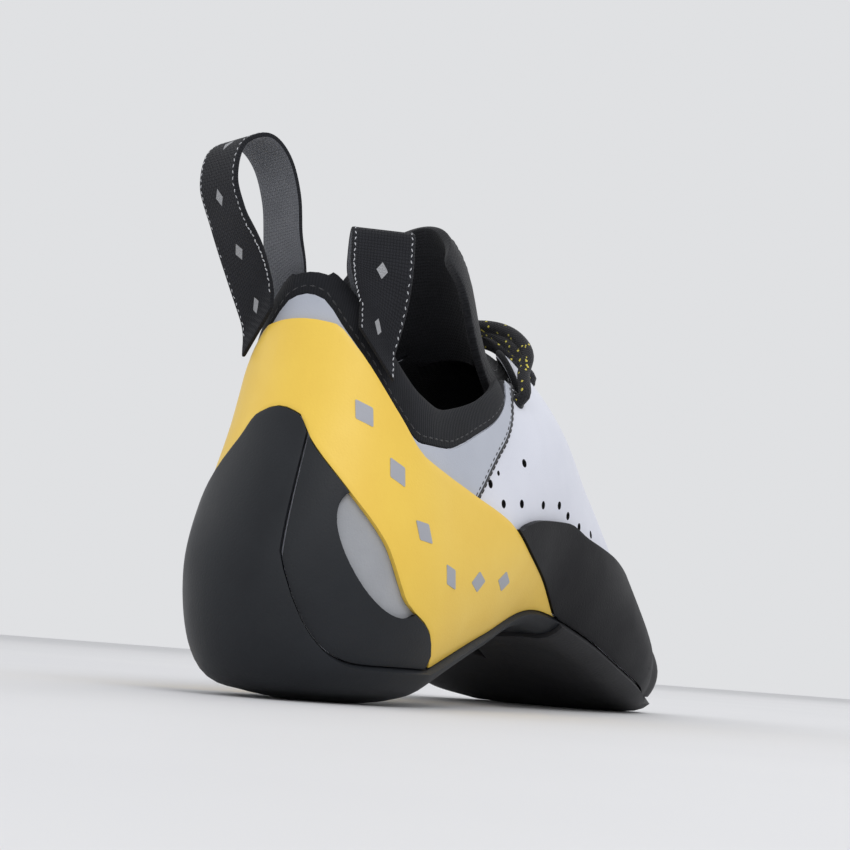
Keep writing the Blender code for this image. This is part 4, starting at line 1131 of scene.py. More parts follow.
def sole_edge(u: float) -> float:
    """Upper edge of the rubber underfoot."""
    return SOLE_EDGE


def above_sole(u: float) -> float:
    """Lower edge of what stands on the rubber underfoot."""
    return shifted(u, SOLE_EDGE, SEAM_GAP / 2)


def band_bottom(u: float) -> float:
    """Lower edge of the tension band, which runs under the arch on the inner side."""
    along = abs(u)
    if along <= BAND_BOTTOM[-1][0]:
        return max(edge(BAND_BOTTOM, u, SEAM_GAP / 2), above_sole(u))
    if u > 0 or along < ARCH_BACK[0][0]:
        return above_sole(u)
    return edge(ARCH_BACK, u, SEAM_GAP / 2)


def band_top(u: float) -> float:
    """Upper edge of the tension band."""
    if u > 0 or -u < ARCH_FRONT[0][0]:
        return edge(BAND_TOP, u, -SEAM_GAP / 2)
    return edge(ARCH_FRONT, u, -SEAM_GAP / 2)


def seam_route(table: Table, side: int, shift: float = 0.0, cut: float = 0.0) -> list[tuple[float, float]]:
    """Share and level of an edge's points on one side, for a line of thread."""
    return [(side * along, edge([(along, girth)], side * along, shift)) for along, girth in table if along >= cut]


@dataclass
class UpperShell:
    """The hollow microfibre upper, its facing at the collar, vents and throat edge."""

    wall: float = UPPER_WALL
    step: float = 0.0025
    rows: int = 46
    facing: float = 0.0003
    vent_radius: float = 0.00105
    vent_depth: float = 0.0013
    binding: float = 0.00085
    crease: float = 0.00042
    dimple: float = 0.00022
    sink: float = 0.00012
    vents: Sequence[tuple[float, float, float]] = (
        (62, 52, 1.0), (66, 55, 0.6), (79, 59, 1.0), (68, 48, 1.0), (77, 49, 1.0), (89, 50, 1.0), (99, 51, 1.0),
        (105, 49, 1.0), (113, 47, 1.0), (123, 46, 1.0))

    def relief(self, u: float, level: float, share: float) -> float:
        """Soft creases across the vamp and the small unevenness of a worn upper."""
        along = abs(u)
        high = min(max((level - 2.9) / 0.8, 0.0), 1.0)
        bend = math.exp(-((along - 0.70) / 0.075) ** 2)
        crease = -self.crease * high * bend * max(0.0, math.sin(along * 150.0 + level * 2.2)) ** 2
        dimple = self.dimple * high * math.sin(along * 34.0 + level * 3.1) * math.sin(level * 4.0 - along * 11.0)
        return crease + dimple * (1.0 if along > 0.4 else 0.3) - self.sink * high

    def skin(self) -> bpy.types.Object:
        """The upper's wall, with its lining."""
        places = both_sides(0.0, 1.0, self.step, [THROAT_CORNER, SPINE_START, THROAT_END, TOE_FAN, HEEL_FAN])
        columns = laid(places, lambda u: LASTING_EDGE, rim_level, self.rows, 0.0, self.relief)
        thing = outside(laid_grid("upper_skin", columns))
        dress(thing, PALE_UPPER, LINING)
        return wall(thing, self.wall, inward=True, lining=True, bevel=0.0005)

    def vent_places(self) -> list[tuple[Vector, Vector, float]]:
        """Point, normal and size of each vent, the same on both sides."""
        found = []
        for along, height, size in self.vents:
            for side in (1, -1):
                u = side * (along - 2.0) / (LAST_LENGTH * 1000)
                level = level_at_height(u, height / 1000)
                found.append((off_last(u, level, 0.0), outward(u, level), size))
        return found

    def punch(self, skin: bpy.types.Object) -> None:
        """Cut the vents into the skin, their walls in the lining's dark."""
        shape = added(bpy.ops.mesh.primitive_cylinder_add, vertices=14, radius=1.0, depth=1.0)
        places = [facing_matrix(p, n, n.orthogonal(), (self.vent_radius * s, self.vent_radius * s,
                                                       2 * self.vent_depth)) for p, n, s in self.vent_places()]
        cutter = scatter("vent_cut", shape, places)
        dress(cutter, LINING)
        apply_modifier(skin, "BOOLEAN", object=cutter, operation="DIFFERENCE", solver="EXACT",
                       material_mode="TRANSFER")
        bpy.data.objects.remove(cutter)

    def collar_facing(self) -> bpy.types.Object:
        """Thin grey facing round the collar, from the band to the rim and forward to its seam."""
        def low(u: float) -> float:
            """The band's top edge, then the slanted seam."""
            along = abs(u)
            if along <= PATCH_SEAM[0][0]:
                return edge(BAND_TOP, u, -0.0015)
            return max(edge(BAND_TOP, u, -0.0015), edge(PATCH_SEAM, u))

        places = both_sides(0.0, 0.362, 0.0024, [row[0] for row in PATCH_SEAM])
        columns = laid(places, low, lambda u: shifted(u, rim_level(u), -0.0003), 14, 0.00003)
        thing = outside(laid_grid("collar_facing", columns))
        dress(thing, GREY_PATCH)
        return wall(thing, self.facing, bevel=0.0001, segments=1)

    def facing_threads(self) -> bpy.types.Object:
        """Two rows of dark stitches along the facing's slanted seam, on each side."""
        places = []
        for side in (1, -1):
            for shift in (-0.0008, 0.0012):
                places += walk(seam_route(PATCH_SEAM, side, shift), 0.0021, self.facing * 0.8)
        return dress(stitches("facing_threads", places, 0.0017, 0.00022), DARK_THREAD)

    def seam_cords(self) -> list[bpy.types.Object]:
        """Dark piping in the facing's slanted seam, on each side."""
        made = []
        for side, word in ((1, "right"), (-1, "left")):
            line = [p for p, _, _ in walk(seam_route(PATCH_SEAM, side), 0.002, 0.0001)]
            made.append(dress(cord_tube(f"seam_piping_{word}", line, 0.00042, 8), DARK_THREAD))
        return made

    def throat_bindings(self) -> list[bpy.types.Object]:
        """Rolled edge of the throat, on each side from the cuff to its foot."""
        made = []
        for side, word in ((1, "right"), (-1, "left")):
            line = [off_last(side * along, rim_level(side * along), -self.wall / 2)
                    for along in np.linspace(0.318, THROAT_END - 0.002, 60)]
            made.append(dress(cord_tube(f"throat_binding_{word}", line, self.binding, 10), KNIT))
        return made

    def build(self) -> None:
        """Make the upper's pieces."""
        skin = self.skin()
        self.punch(skin)
        round_shading(skin, 50)
        settle(skin, "pale_fabric", "upper")
        settle(self.collar_facing(), "pale_fabric")
        settle(self.facing_threads(), "black_fabric")
        for piece in self.seam_cords() + self.throat_bindings():
            settle(piece, "black_fabric")


@dataclass
class CollarCuff:
    """The padded knit cuff round the collar."""

    thickness: float = 0.0024
    end: float = 0.314
    crown: float = 0.0006

    def build(self) -> None:
        """Make the cuff and the thread along its foot."""
        def swell(u: float, level: float, share: float) -> float:
            """Crowned between its two edges."""
            return self.crown * (math.sin(math.pi * share) ** 0.6 - 1.0) * 0.6

        places = both_sides(0.0, self.end, 0.0022)
        columns = laid(places, lambda u: shifted(u, rim_level(u), SEAM_GAP * 1.5),
                       lambda u: shifted(u, edge(CUFF_TOP, u), SEAM_GAP * 2), 10, -UPPER_WALL, swell)
        thing = dress(outside(laid_grid("collar_cuff_knit", columns)), KNIT, LINING)
        wall(thing, self.thickness, bevel=0.0009, segments=4)
        settle(thing, "black_fabric", "collar_cuff")
        line = []
        for u in both_sides(0.0, self.end - 0.004, 0.0026):
            level = shifted(u, rim_level(u), 0.0016)
            line.append((u, level))
        row = walk(line, 0.0023, self.thickness - UPPER_WALL - 0.0002)
        settle(dress(stitches("cuff_threads", row, 0.0018, 0.0002), DARK_THREAD), "black_fabric")


@dataclass
class TensionBand:
    """The yellow rubber band round the heel and under the arch, with a plain row of lozenges."""

    thickness: float = 0.0012
    lozenge: tuple[float, float, float] = (0.0036, 0.0024, 0.00016)
    span: tuple[float, float] = (0.075, 0.300)
    count: int = 6

    def build(self) -> None:
        """Make the band and its row of lozenges."""
        marks = [row[0] for row in BAND_BOTTOM + ARCH_BACK + ARCH_FRONT]
        left = [-u for u in stations(0.0, ARCH_FRONT[-1][0], 0.0017, marks)][::-1]
        right = stations(0.0, BAND_TOP[-1][0], 0.0017, marks)[1:]
        columns = laid(left + right, band_bottom, band_top, 16, SEAM_GAP)
        thing = dress(outside(laid_grid("tension_band_rubber", columns)), YELLOW_RUBBER)
        settle(wall(thing, self.thickness, bevel=0.0003), "yellow_rubber", "tension_band")
        settle(self.motif(), "grey_board")

    def motif(self) -> bpy.types.Object:
        """Equal plain lozenges along the outer side, as a generic motif."""
        shape = added(bpy.ops.mesh.primitive_cylinder_add, vertices=4, radius=1.0, depth=1.0)
        in_edit_mode(shape, lambda: bpy.ops.mesh.bevel(offset=0.08, segments=1, affect="EDGES"))
        route = [(u, band_bottom(u) * 0.45 + band_top(u) * 0.55) for u in np.linspace(*self.span, 25)]
        line = walk(route, 0.0005, SEAM_GAP + self.thickness)
        picked = [line[round(k * (len(line) - 1) / (self.count - 1))] for k in range(self.count)]
        places = [facing_matrix(point, normal, ahead, self.lozenge) for point, normal, ahead in picked]
        thing = dress(scatter("band_lozenges", shape, places), GREY_PRINT)
        round_shading(thing, 30)
        return thing


@dataclass
class HeelRubber:
    """Rubber round the heel: the wrap under and behind it, the outer panel and the grey inset."""

    wrap: float = HEEL_SOLE_THICK
    panel: float = 0.0014
    corner: tuple[float, float, float] = (0.112, 0.0165, 2.8)
    thinning: tuple[float, float, float] = (0.012, 0.055, 0.60)

    def under_band(self, u: float) -> float:
        """Lower edge of the band, less half a seam."""
        return edge(BAND_BOTTOM, u, -SEAM_GAP / 2)

    def wrap_right(self, u: float) -> float:
        """Upper edge of the wrap beside the outer panel: a round corner down to the sole."""
        end, rise, power = self.corner
        share = min(max((u - STRIP_HALF) / (end - STRIP_HALF), 0.0), 1.0)
        return shifted(max(u, STRIP_HALF), SOLE_EDGE, rise * (1 - share) ** power)

    def wrap_left(self, u: float) -> float:
        """Upper edge of the wrap on the inner side: the band, then the slanted edge beside the arch."""
        if abs(u) >= ARCH_BACK[0][0]:
            return edge(ARCH_BACK, u, -SEAM_GAP / 2)
        return max(SOLE_EDGE, self.under_band(u)) if abs(u) < BAND_BOTTOM[-1][0] else SOLE_EDGE

    def waist(self, u: float) -> float:
        """Level where the lower and the upper half of the wrap's grid meet on the inner side."""
        return min(self.wrap_right(STRIP_HALF), self.wrap_left(u))

    def heel_wrap(self) -> bpy.types.Object:
        """Rubber under and behind the heel and forward along the arch, thinner towards the band."""
        marks = [row[0] for row in ARCH_BACK + BAND_BOTTOM[1:]] + [STRIP_HALF]
        places = stations(0.0, ARM_FRONT, 0.0018, marks)
        strip = [u for u in places if u <= STRIP_HALF]
        inner = [-u for u in places]
        sheets = [laid(places, flat_level, self.wrap_right, 30, SEAM_GAP),
                  laid(strip, lambda u: self.wrap_right(STRIP_HALF), self.under_band, 20, SEAM_GAP),
                  laid(inner, flat_level, self.waist, 30, SEAM_GAP),
                  laid(inner, self.waist, self.wrap_left, 20, SEAM_GAP)]
        thing = dress(joined("heel_wrap_rubber", [outside(laid_grid("sheet", sheet)) for sheet in sheets]),
                      BLACK_RUBBER)
        low, high, least = self.thinning
        group = thing.vertex_groups.new(name="thickness")
        for vertex in thing.data.vertices:
            share = min(max((vertex.co.z - low) / (high - low), 0.0), 1.0)
            group.add([vertex.index], 1.0 - (1.0 - least) * share, "REPLACE")
        wall(thing, self.wrap, bevel=0.0005, segments=3, thinned_by=group.name)
        thing.vertex_groups.clear()
        return thing

    def side_panel(self) -> bpy.types.Object:
        """Thin panel on the outer side, from the wrap to the band, with its window."""
        start = STRIP_HALF + SEAM_GAP / LAST_LENGTH
        places = stations(start, BAND_BOTTOM[-1][0] - 0.012, 0.0015)
        columns = laid(places, lambda u: shifted(u, self.wrap_right(u), SEAM_GAP), self.under_band, 30, SEAM_GAP)
        thing = dress(outside(laid_grid("heel_panel_right_rubber", columns)), BLACK_RUBBER)
        wall(thing, self.panel, bevel=0.0)
        self.cut_window(thing)
        apply_modifier(thing, "BEVEL", width=0.0003, segments=2, limit_method="ANGLE",
                       angle_limit=math.radians(50), use_clamp_overlap=True)
        round_shading(thing)
        return thing

    def build(self) -> None:
        """Make wrap, panel and inset."""
        wrap = self.heel_wrap()
        grind(wrap)
        settle(wrap, "black_rubber", "heel_sole", "heel_strip", "heel_panel_left")
        settle(self.side_panel(), "black_rubber", "heel_panel_right")
        start, end = STRIP_HALF + 0.010, BAND_BOTTOM[-1][0] - 0.016
        columns = laid(stations(start, end, 0.003), lambda u: shifted(u, SOLE_EDGE, 0.003),
                       lambda u: shifted(u, self.under_band(u), 0.001), 16, 0.00003)
        thing = dress(outside(laid_grid("window_inset", columns)), GREY_RUBBER)
        settle(wall(thing, 0.00032, bevel=0.0), "grey_board")

    def cut_window(self, panel: bpy.types.Object) -> None:
        """Half-round opening beside the band, cut by an oval bar along the surface's normal."""
        top = on_last(WINDOW_TOP[0], level_of(*WINDOW_TOP)) + PLACE
        foot = on_last(WINDOW_FOOT[0], level_of(*WINDOW_FOOT)) + PLACE
        middle_u, middle = (WINDOW_TOP[0] + WINDOW_FOOT[0]) / 2, (top + foot) / 2
        normal = outward(middle_u, level_at_height(middle_u, middle.z))
        long_way = (top - foot).normalized()
        short_way = normal.cross(long_way).normalized()
        bar = added(bpy.ops.mesh.primitive_cylinder_add, vertices=48, radius=1.0, depth=1.0)
        turn = Matrix((short_way, long_way, short_way.cross(long_way))).transposed().to_4x4()
        bar.data.transform(Matrix.Translation(middle) @ turn @ Matrix.Diagonal(
            (WINDOW_DEPTH, (top - foot).length / 2, HEEL_WIDTH / 2, 1.0)))
        apply_modifier(panel, "BOOLEAN", object=bar, operation="DIFFERENCE", solver="EXACT")
        bpy.data.objects.remove(bar)


@dataclass
class ForefootSole:
    """The rubber outsole under the forefoot."""

    thickness: float = OUTSOLE_THICK

    def fore_piece(self) -> bpy.types.Object:
        """Forefoot outsole, its back edge slanted along the band's end."""
        def low_left(u: float) -> float:
            """The slanted edge, then the middle of the bottom."""
            return 0.0 if abs(u) > ARCH_FRONT[-1][0] else edge(ARCH_FRONT, u, SEAM_GAP / 2)

        marks = [row[0] for row in ARCH_FRONT]
        places = stations(ARM_FRONT + SEAM_GAP / LAST_LENGTH, 1.0, 0.0026, marks)
        right = outside(laid_grid("right", laid(places, flat_level, sole_edge, 18, SEAM_GAP)))
        start = [ARCH_FRONT[0][0] + SEAM_GAP / LAST_LENGTH] + [u for u in places if u > ARCH_FRONT[0][0] + 0.004]
        left = outside(laid_grid("left", laid([-u for u in start], low_left, sole_edge, 18, SEAM_GAP)))
        thing = soften_tip(joined("outsole_rubber", [right, left]), 0.955, 24)
        return wall(dress(thing, SOLE_RUBBER), self.thickness, bevel=0.0004)

    def build(self) -> None:
        """Make the outsole and stand it on the floor."""
        thing = self.fore_piece()
        grind(thing)
        settle(thing, "black_rubber", "outsole")


@dataclass
class ToeRand:
    """Rubber rand round the forefoot, from the band over the toe."""

    thickness: float = 0.0017

    def build(self) -> None:
        """Make the rand."""
        first, foot = RAND_TOP[0][0], BAND_TOP[-1][0]

        def low(u: float) -> float:
            """The band's top edge, then the sole's edge."""
            bottom = above_sole(u)
            if abs(u) > foot:
                return bottom
            return max(shifted(u, bottom, SEAM_GAP), edge(BAND_TOP, u, SEAM_GAP / 2))

        marks = [foot] + [row[0] for row in RAND_TOP[1:-1]]
        places = stations(first, 1.0, 0.0024, marks)
        ring = places + [-u for u in places][::-1][1:]
        columns = laid(ring, low, lambda u: edge(RAND_TOP, u), 16, SEAM_GAP)
        thing = dress(soften_tip(outside(laid_grid("toe_rand_rubber", columns)), 0.965), RAND_RUBBER)
        settle(wall(thing, self.thickness, bevel=0.0006, segments=3), "black_rubber", "toe_rand")


@dataclass
class Footbed:
    """Board and felt inside the upper."""

    thickness: float = 0.0014
    edge_level: float = 1.62

    def build(self) -> None:
        """Make the footbed."""
        places = both_sides(0.0, 1.0, 0.004)
        offset = -(UPPER_WALL + 2 * SEAM_GAP)
        columns = laid(places, flat_level, lambda u: self.edge_level, 10, offset)
        thing = dress(outside(laid_grid("footbed", columns)), FOOTBED)
        settle(wall(thing, self.thickness, inward=True, bevel=0.0003), "grey_board", "insole")


@dataclass
class Tongue:
    """The padded knit tongue under the throat, its top free in front of the ankle."""

    thickness: float = 0.0022
    lap: float = 0.10
    tuck: float = 0.03
    wrap: float = 80.0
    tips: Sequence[tuple[float, float, float, float, float]] = (
        (0.405, 0.960, 0.32, 0.34, 60), (0.386, 1.010, 0.33, 0.38, 46), (0.368, 1.075, 0.34, 0.42, 36),
        (0.350, 1.150, 0.35, 0.44, 32), (0.336, 1.220, 0.31, 0.42, 38), (0.326, 1.265, 0.22, 0.36, 44))

    def rows(self, count: int = 16) -> Columns:
        """Rows of points across the tongue, from under the vamp to its free end."""
        depth = UPPER_WALL + 2 * SEAM_GAP
        found = []
        for along in np.linspace(THROAT_END + self.tuck, SPINE_START, 16):
            gap = (straight(THROAT, min(along, THROAT_END)) + self.lap) * BALL_WIDTH
            row = []
            for j in range(count + 1):
                across = (2 * j / count - 1) * gap
                level = beside_spine(along, across)
                row.append(off_last(along if across >= 0 else -along, level, -depth))
            found.append(row)
        middle = on_last(SPINE_START, TOP).x
        for along, height, half, low, tilt in self.tips:
            centre = Vector((middle, along * LAST_LENGTH, height * INSTEP_HEIGHT - depth)) + PLACE
            slope = math.radians(tilt)
            drop = Vector((0, -math.cos(slope), -math.sin(slope))) * low * HEEL_WIDTH
            row = []
            for j in range(count + 1):
                turn = (2 * j / count - 1) * math.radians(self.wrap)
                row.append(centre + Vector((math.sin(turn) * half * HEEL_WIDTH, 0, 0)) + drop * (1 - math.cos(turn)))
            found.append(row)
        return found

    def build(self) -> None:
        """Make the tongue and its quilting threads."""
        thing = outside(laid_grid("tongue_knit_pad", self.rows()))
        dress(thing, TONGUE_KNIT, LINING)
        wall(thing, self.thickness, inward=True, bevel=0.0007, segments=2)
        apply_modifier(thing, "SUBSURF", levels=1, render_levels=1)
        round_shading(thing, 60)
        settle(thing, "black_fabric", "tongue")
        settle(self.quilting(thing), "black_fabric")

    def quilting(self, pad: bpy.types.Object) -> bpy.types.Object:
        """Zigzag stitches down both edges of the free end."""
        tree = BVHTree.FromPolygons([v.co for v in pad.data.vertices], [p.vertices for p in pad.data.polygons])
        rows = self.rows()[16 - 2:]
        places = []
        for side in (1, -1):
            route = through([row[len(row) // 2 + side * 5] for row in rows], 0.0016)
            for k, (a, b) in enumerate(zip(route, route[1:])):
                across = Vector((0.0008 * (1 if k % 2 else -1), 0, 0))
                middle, normal, _, _ = tree.find_nearest((a + b) / 2 + Vector((0, 0.002, 0.0005)))
                places.append((middle, normal, (b - a) + across))
        return dress(stitches("tongue_threads", places, 0.0020, 0.00022), DARK_THREAD)


@dataclass
class Lacing:
    """The lace: crossings over the tongue, the slack run at the top, and the eyelets."""

    radius: float = 0.0016
    pairs: int = 5
    inset: float = 0.0055
    tuck: float = 0.0035
    slack_tuck: float = 0.0026
    eyelet: float = 0.0021
    rim: float = 0.00042
    first: float = 0.062
    last: float = 0.045
    top: tuple[float, float] = (0.367, 1.80)
    arc: Sequence[tuple[float, float, float]] = (
        (0.283, 0.382, 0.865), (0.268, 0.398, 0.925), (0.195, 0.409, 0.978), (0.087, 0.413, 1.005),
        (-0.058, 0.413, 1.005), (-0.190, 0.408, 0.985), (-0.285, 0.396, 0.935), (-0.345, 0.382, 0.870))

    def place(self, k: int) -> float:
        """Share of the length at a pair of eyelets, from the top down."""
        start, end = THROAT_CORNER + self.first, THROAT_END - self.last
        return start + (end - start) * k / (self.pairs - 1)

    def out(self, along: float) -> float:
        """Distance of an eyelet from the spine."""
        return straight(THROAT, along) * BALL_WIDTH + self.inset

    def beside(self, along: float, across: float, offset: float) -> Vector:
        """Point off the last at a distance across from its spine."""
        return off_last(along if across >= 0 else -along, beside_spine(along, across), offset)

    def run(self, start: tuple[float, float], end: tuple[float, float], lift: float) -> list[Vector]:
        """A stretch of lace from one eyelet over the tongue into another."""
        rest = SEAM_GAP + self.radius
        points = [self.beside(*start, -self.tuck)]
        for j in range(7):
            t = j / 6
            along, across = start[0] * (1 - t) + end[0] * t, start[1] * (1 - t) + end[1] * t
            points.append(self.beside(along, across * (1.0 if 0 < j < 6 else 0.96), rest)
                          + Vector((0, 0, lift * math.sin(math.pi * t))))
        points.append(self.beside(*end, -self.tuck))
        return through(points, 0.0012)

    def crossings(self) -> list[bpy.types.Object]:
        """Diagonals between the pairs of eyelets and the bar at the lowest pair."""
        made = []
        for k in range(self.pairs - 1):
            upper, lower = self.place(k), self.place(k + 1)
            for sign in (-1, 1):
                line = self.run((upper, sign * self.out(upper)), (lower, -sign * self.out(lower)),
                                0.0019 if sign > 0 else 0.0002)
                made.append(cord_tube(f"lace_diagonal_{k + 1}_{'right' if sign > 0 else 'left'}", line, self.radius))
        low = self.place(self.pairs - 1)
        made.append(cord_tube("lace_bar", self.run((low, self.out(low)), (low, -self.out(low)), 0.0), self.radius))
        return made

    def slack(self) -> tuple[bpy.types.Object, list[Vector]]:
        """The slack run from one top eyelet to the other, over the tongue."""
        spine = on_last((THROAT_CORNER + SPINE_START) / 2, TOP).x
        arc = [Vector((spine + right * BALL_WIDTH, along * LAST_LENGTH, height * INSTEP_HEIGHT)) + PLACE
               for right, along, height in self.arc]
        rest = SEAM_GAP + self.radius
        ends = [[off_last(side * self.top[0], level_of(side * self.top[0], self.top[1]), offset)
                 for offset in (-self.slack_tuck, rest)] for side in (1, -1)]
        line = through(ends[0] + arc + ends[1][::-1], 0.0012)
        return cord_tube("lace_slack", line, self.radius, 14), line

    def eyelets(self) -> bpy.types.Object:
        """Small punched rims that the lace runs through."""
        shape = added(bpy.ops.mesh.primitive_torus_add, major_radius=self.eyelet, minor_radius=self.rim,
                      major_segments=24, minor_segments=8)
        places = []
        for k in range(self.pairs):
            along = self.place(k)
            for sign in (1, -1):
                u, level = sign * along, beside_spine(along, sign * self.out(along))
                places.append((off_last(u, level, 0.0), outward(u, level)))
        for side in (1, -1):
            u = side * self.top[0]
            level = level_of(u, self.top[1])
            places.append((off_last(u, level, 0.0), outward(u, level)))
        return scatter("eyelet_rims", shape, [facing_matrix(p, n, n.orthogonal(), (1, 1, 1)) for p, n in places])

    def build(self) -> None:
        """Make the lace and its eyelets."""
        for piece in self.crossings():
            settle(dress(piece, LACE), "lace_cord", "lace_crossings")
        slack, line = self.slack()
        dress(slack, LACE)
        settle(slack, "lace_cord", "lace_top")
        settle(dress(self.eyelets(), BLACK_RUBBER), "black_rubber")


class LoopForm(Enum):
    """How a pull loop stands: its path, as shares out of LOOP_EYE and up of LOOP_HEIGHT."""

    OPEN = ((0.22, -0.25), (0.25, -0.06), (0.43, 0.20), (0.74, 0.56), (0.84, 0.76), (0.77, 0.98), (0.48, 1.08),
            (0.23, 0.97), (0.07, 0.72), (0.00, 0.40), (-0.10, 0.16), (-0.18, -0.03))
    FLAT = ((0.200, -0.18), (0.145, 0.00), (0.14, 0.30), (0.12, 0.54), (0.08, 0.66), (-0.02, 0.69), (-0.11, 0.63),
            (-0.14, 0.48), (-0.15, 0.25), (-0.15, 0.07), (-0.14, -0.05))


@dataclass
class PullLoop:
    """A webbing loop sewn to the cuff, with fine threads along its edges."""

    node: str
    place: float
    form: LoopForm
    width: float = 0.0140
    thickness: float = 0.0011
    eye: float = 0.022
    height: float = 0.032
    pitch: float = 0.0013
    anchor_depth: float = 0.0012
    thread: tuple[float, float, float] = (0.0007, 0.0009, 0.00014)

    def path(self) -> tuple[list[Vector], list[Vector]]:
        """Points of the webbing's middle line, and the way of its width at each."""
        u, side = self.place, 1 if self.place > 0 else -1
        half = self.width / LAST_LENGTH / 4
        ends = [on_last(p, edge(CUFF_TOP, p)) for p in (abs(u) - half, abs(u) + half)]
        along_rim = (ends[1] - ends[0]).normalized()
        along_rim.x *= side
        level_way = Vector((along_rim.x, along_rim.y, 0)).normalized()
        out = Vector((level_way.y, -level_way.x, 0)) * side
        anchor = off_last(u, edge(CUFF_TOP, u), self.anchor_depth - UPPER_WALL)
        knots, points, ways = list(range(len(self.form.value))), [], []
        for j in range(8 * (len(knots) - 1) + 1):
            reach = smooth(knots, [row[0] for row in self.form.value], j / 8)
            rise = smooth(knots, [row[1] for row in self.form.value], j / 8)
            free = min(max(rise * 2, 0.0), 1.0)
            points.append(anchor + out * (reach * self.eye) + Vector((0, 0, rise * self.height)))
            ways.append((along_rim * (1 - free) + level_way * free).normalized())
        return points, ways

    def build(self) -> None:
        """Make the webbing and its threads."""
        points, ways = self.path()
        columns = [[p + w * (self.width * (j / 10 - 0.5)) for j in range(11)] for p, w in zip(points, ways)]
        thing = laid_grid(f"{self.node}_webbing", columns)
        middle = sum(points, Vector()) / len(points)
        score = sum(f.normal.dot(f.center - middle) for f in thing.data.polygons)
        if score < 0:
            in_edit_mode(thing, flip)
        dress(thing, STRAP, STRAP_BACK)
        choose(thing)
        apply_modifier(thing, "SOLIDIFY", thickness=self.thickness, offset=0.0, use_even_offset=False,
                       material_offset=1)
        apply_modifier(thing, "BEVEL", width=0.0003, segments=2, limit_method="ANGLE",
                       angle_limit=math.radians(50), use_clamp_overlap=True)
        round_shading(thing)
        settle(thing, "webbing", self.node)
        settle(self.threads(points, ways), "webbing")

    def threads(self, points: list[Vector], ways: list[Vector]) -> bpy.types.Object:
        """Fine white stitches along both edges of the outer face."""
        inset, length_each, radius = self.thread
        middle = sum(points, Vector()) / len(points)
        length = np.concatenate([[0.0], np.cumsum([(b - a).length for a, b in zip(points, points[1:])])])
        places = []
        for k in range(int(length[-1] / self.pitch)):
            at = (k + 0.5) * self.pitch
            j = min(int(np.searchsorted(length, at)), len(points) - 2)
            ahead, way = (points[j + 1] - points[max(j - 1, 0)]).normalized(), ways[j]
            out = ahead.cross(way).normalized()
            if out.dot(points[j] - middle) < 0:
                out = -out
            base = Vector([float(np.interp(at, length, [p[a] for p in points])) for a in range(3)])
            slant = way * (0.35 if k % 2 else -0.35)
            for side in (1, -1):
                places.append((base + way * side * (self.width / 2 - inset) + out * (self.thickness / 2),
                               out, ahead + slant))
        return dress(stitches(f"{self.node}_threads", places, length_each, radius), WHITE_THREAD)


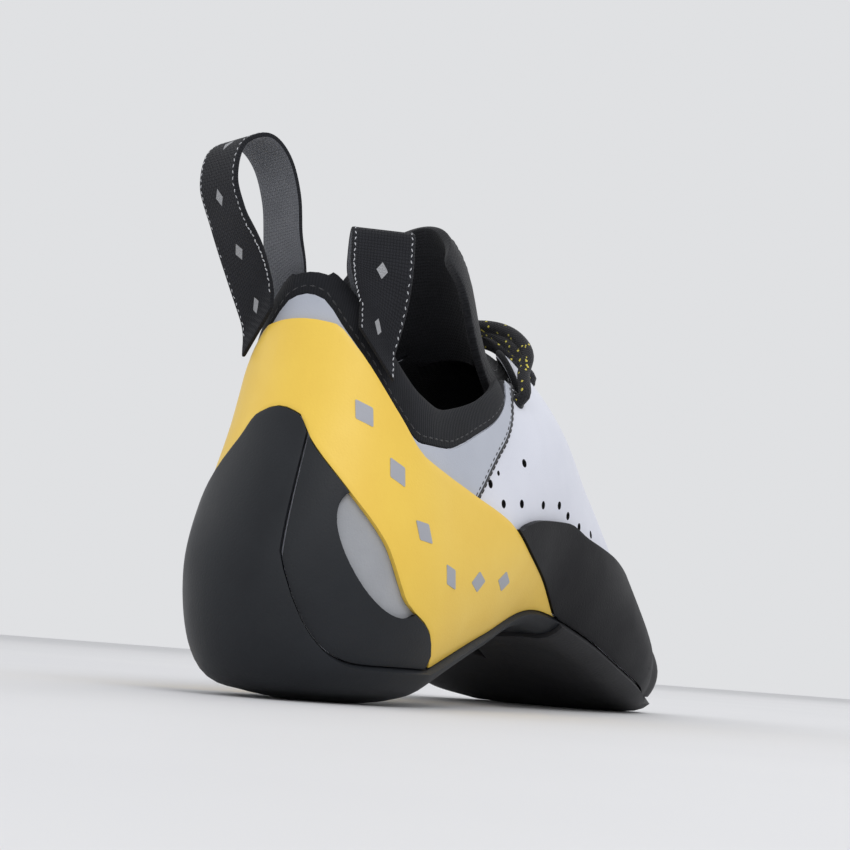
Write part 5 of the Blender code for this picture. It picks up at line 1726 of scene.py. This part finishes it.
@dataclass
class Studio:
    """Pale floor, soft lights and the camera at the photograph's angle."""

    target: Vector = field(default_factory=lambda: Vector((-0.0076, -0.0033, 0.0725)))
    azimuth: float = 28.0
    elevation: float = -7.2
    roll: float = -4.3
    distance: float = 0.500
    lens: float = 79.6

    def floor(self) -> None:
        """A wide, flat, pale floor, a little below the sole."""
        floor = added(bpy.ops.mesh.primitive_plane_add, size=8.0, location=(0.0, 0.0, -0.0001))
        floor.name = "floor"
        material, g, shader = start_material("pale_floor")
        grain = use(g, "grain", GRAIN, Pores=300.0, Blotches=4.0)
        g.give(shader, "Base Color", g.blend(grain[1], (0.70, 0.70, 0.71), (0.67, 0.67, 0.685)))
        shader.inputs["Roughness"].default_value = 0.7
        floor.data.materials.append(material)

    def light(self, name: str, place: Sequence[float], size: float, power: float) -> None:
        """A square white area light that looks at the shoe."""
        data = bpy.data.lights.new(name, "AREA")
        data.shape, data.size, data.energy = "SQUARE", size, power
        lamp = bpy.data.objects.new(name, data)
        bpy.context.scene.collection.objects.link(lamp)
        lamp.location = Vector(place)
        lamp.rotation_euler = (Vector((0, 0, 0.05)) - lamp.location).to_track_quat("-Z", "Y").to_euler()

    def camera(self) -> None:
        """The camera, its picture rolled as the photograph's is."""
        a, e, roll = (math.radians(v) for v in (self.azimuth, self.elevation, self.roll))
        ahead = Vector((-math.sin(a) * math.cos(e), math.cos(a) * math.cos(e), -math.sin(e)))
        right = Vector((math.cos(a), math.sin(a), 0.0))
        up = right.cross(ahead)
        across = right * math.cos(roll) - up * math.sin(roll)
        above = right * math.sin(roll) + up * math.cos(roll)
        data = bpy.data.cameras.new("camera")
        data.lens, data.sensor_width, data.clip_start = self.lens, 36.0, 0.01
        camera = bpy.data.objects.new("camera", data)
        bpy.context.scene.collection.objects.link(camera)
        turn = Matrix((across, above, -ahead)).transposed().to_4x4()
        camera.matrix_world = Matrix.Translation(self.target - ahead * self.distance) @ turn
        bpy.context.scene.camera = camera
        LOG.info("camera %.1f mm above the floor", camera.location.z * 1000)

    def build(self) -> None:
        """Set up floor, lights, world and camera."""
        self.floor()
        self.light("key", (1.1, -0.7, 1.3), 0.9, 9.0)
        self.light("fill", (-1.3, -0.5, 0.8), 1.1, 3.0)
        self.light("back", (0.1, 1.4, 1.2), 0.9, 4.0)
        self.light("front", (0.5, -1.5, 0.35), 0.7, 2.0)
        world = bpy.data.worlds.new("studio")
        world.use_nodes = True
        world.node_tree.nodes["Background"].inputs["Color"].default_value = (0.93, 0.94, 0.96, 1.0)
        world.node_tree.nodes["Background"].inputs["Strength"].default_value = 0.80
        bpy.context.scene.world = world
        bpy.context.scene.view_settings.view_transform = "Standard"
        self.camera()


def main() -> None:
    """Build the shoe's sub-assemblies in order."""
    logging.basicConfig(level=logging.INFO, format="%(message)s")
    Studio().build()
    Lacing().build()
    UpperShell().build()
    CollarCuff().build()
    TensionBand().build()
    HeelRubber().build()
    ForefootSole().build()
    ToeRand().build()
    Footbed().build()
    Tongue().build()
    PullLoop("pull_loop_left", -0.052, LoopForm.OPEN).build()
    PullLoop("pull_loop_right", 0.083, LoopForm.FLAT).build()


if __name__ == "__main__":
    main()
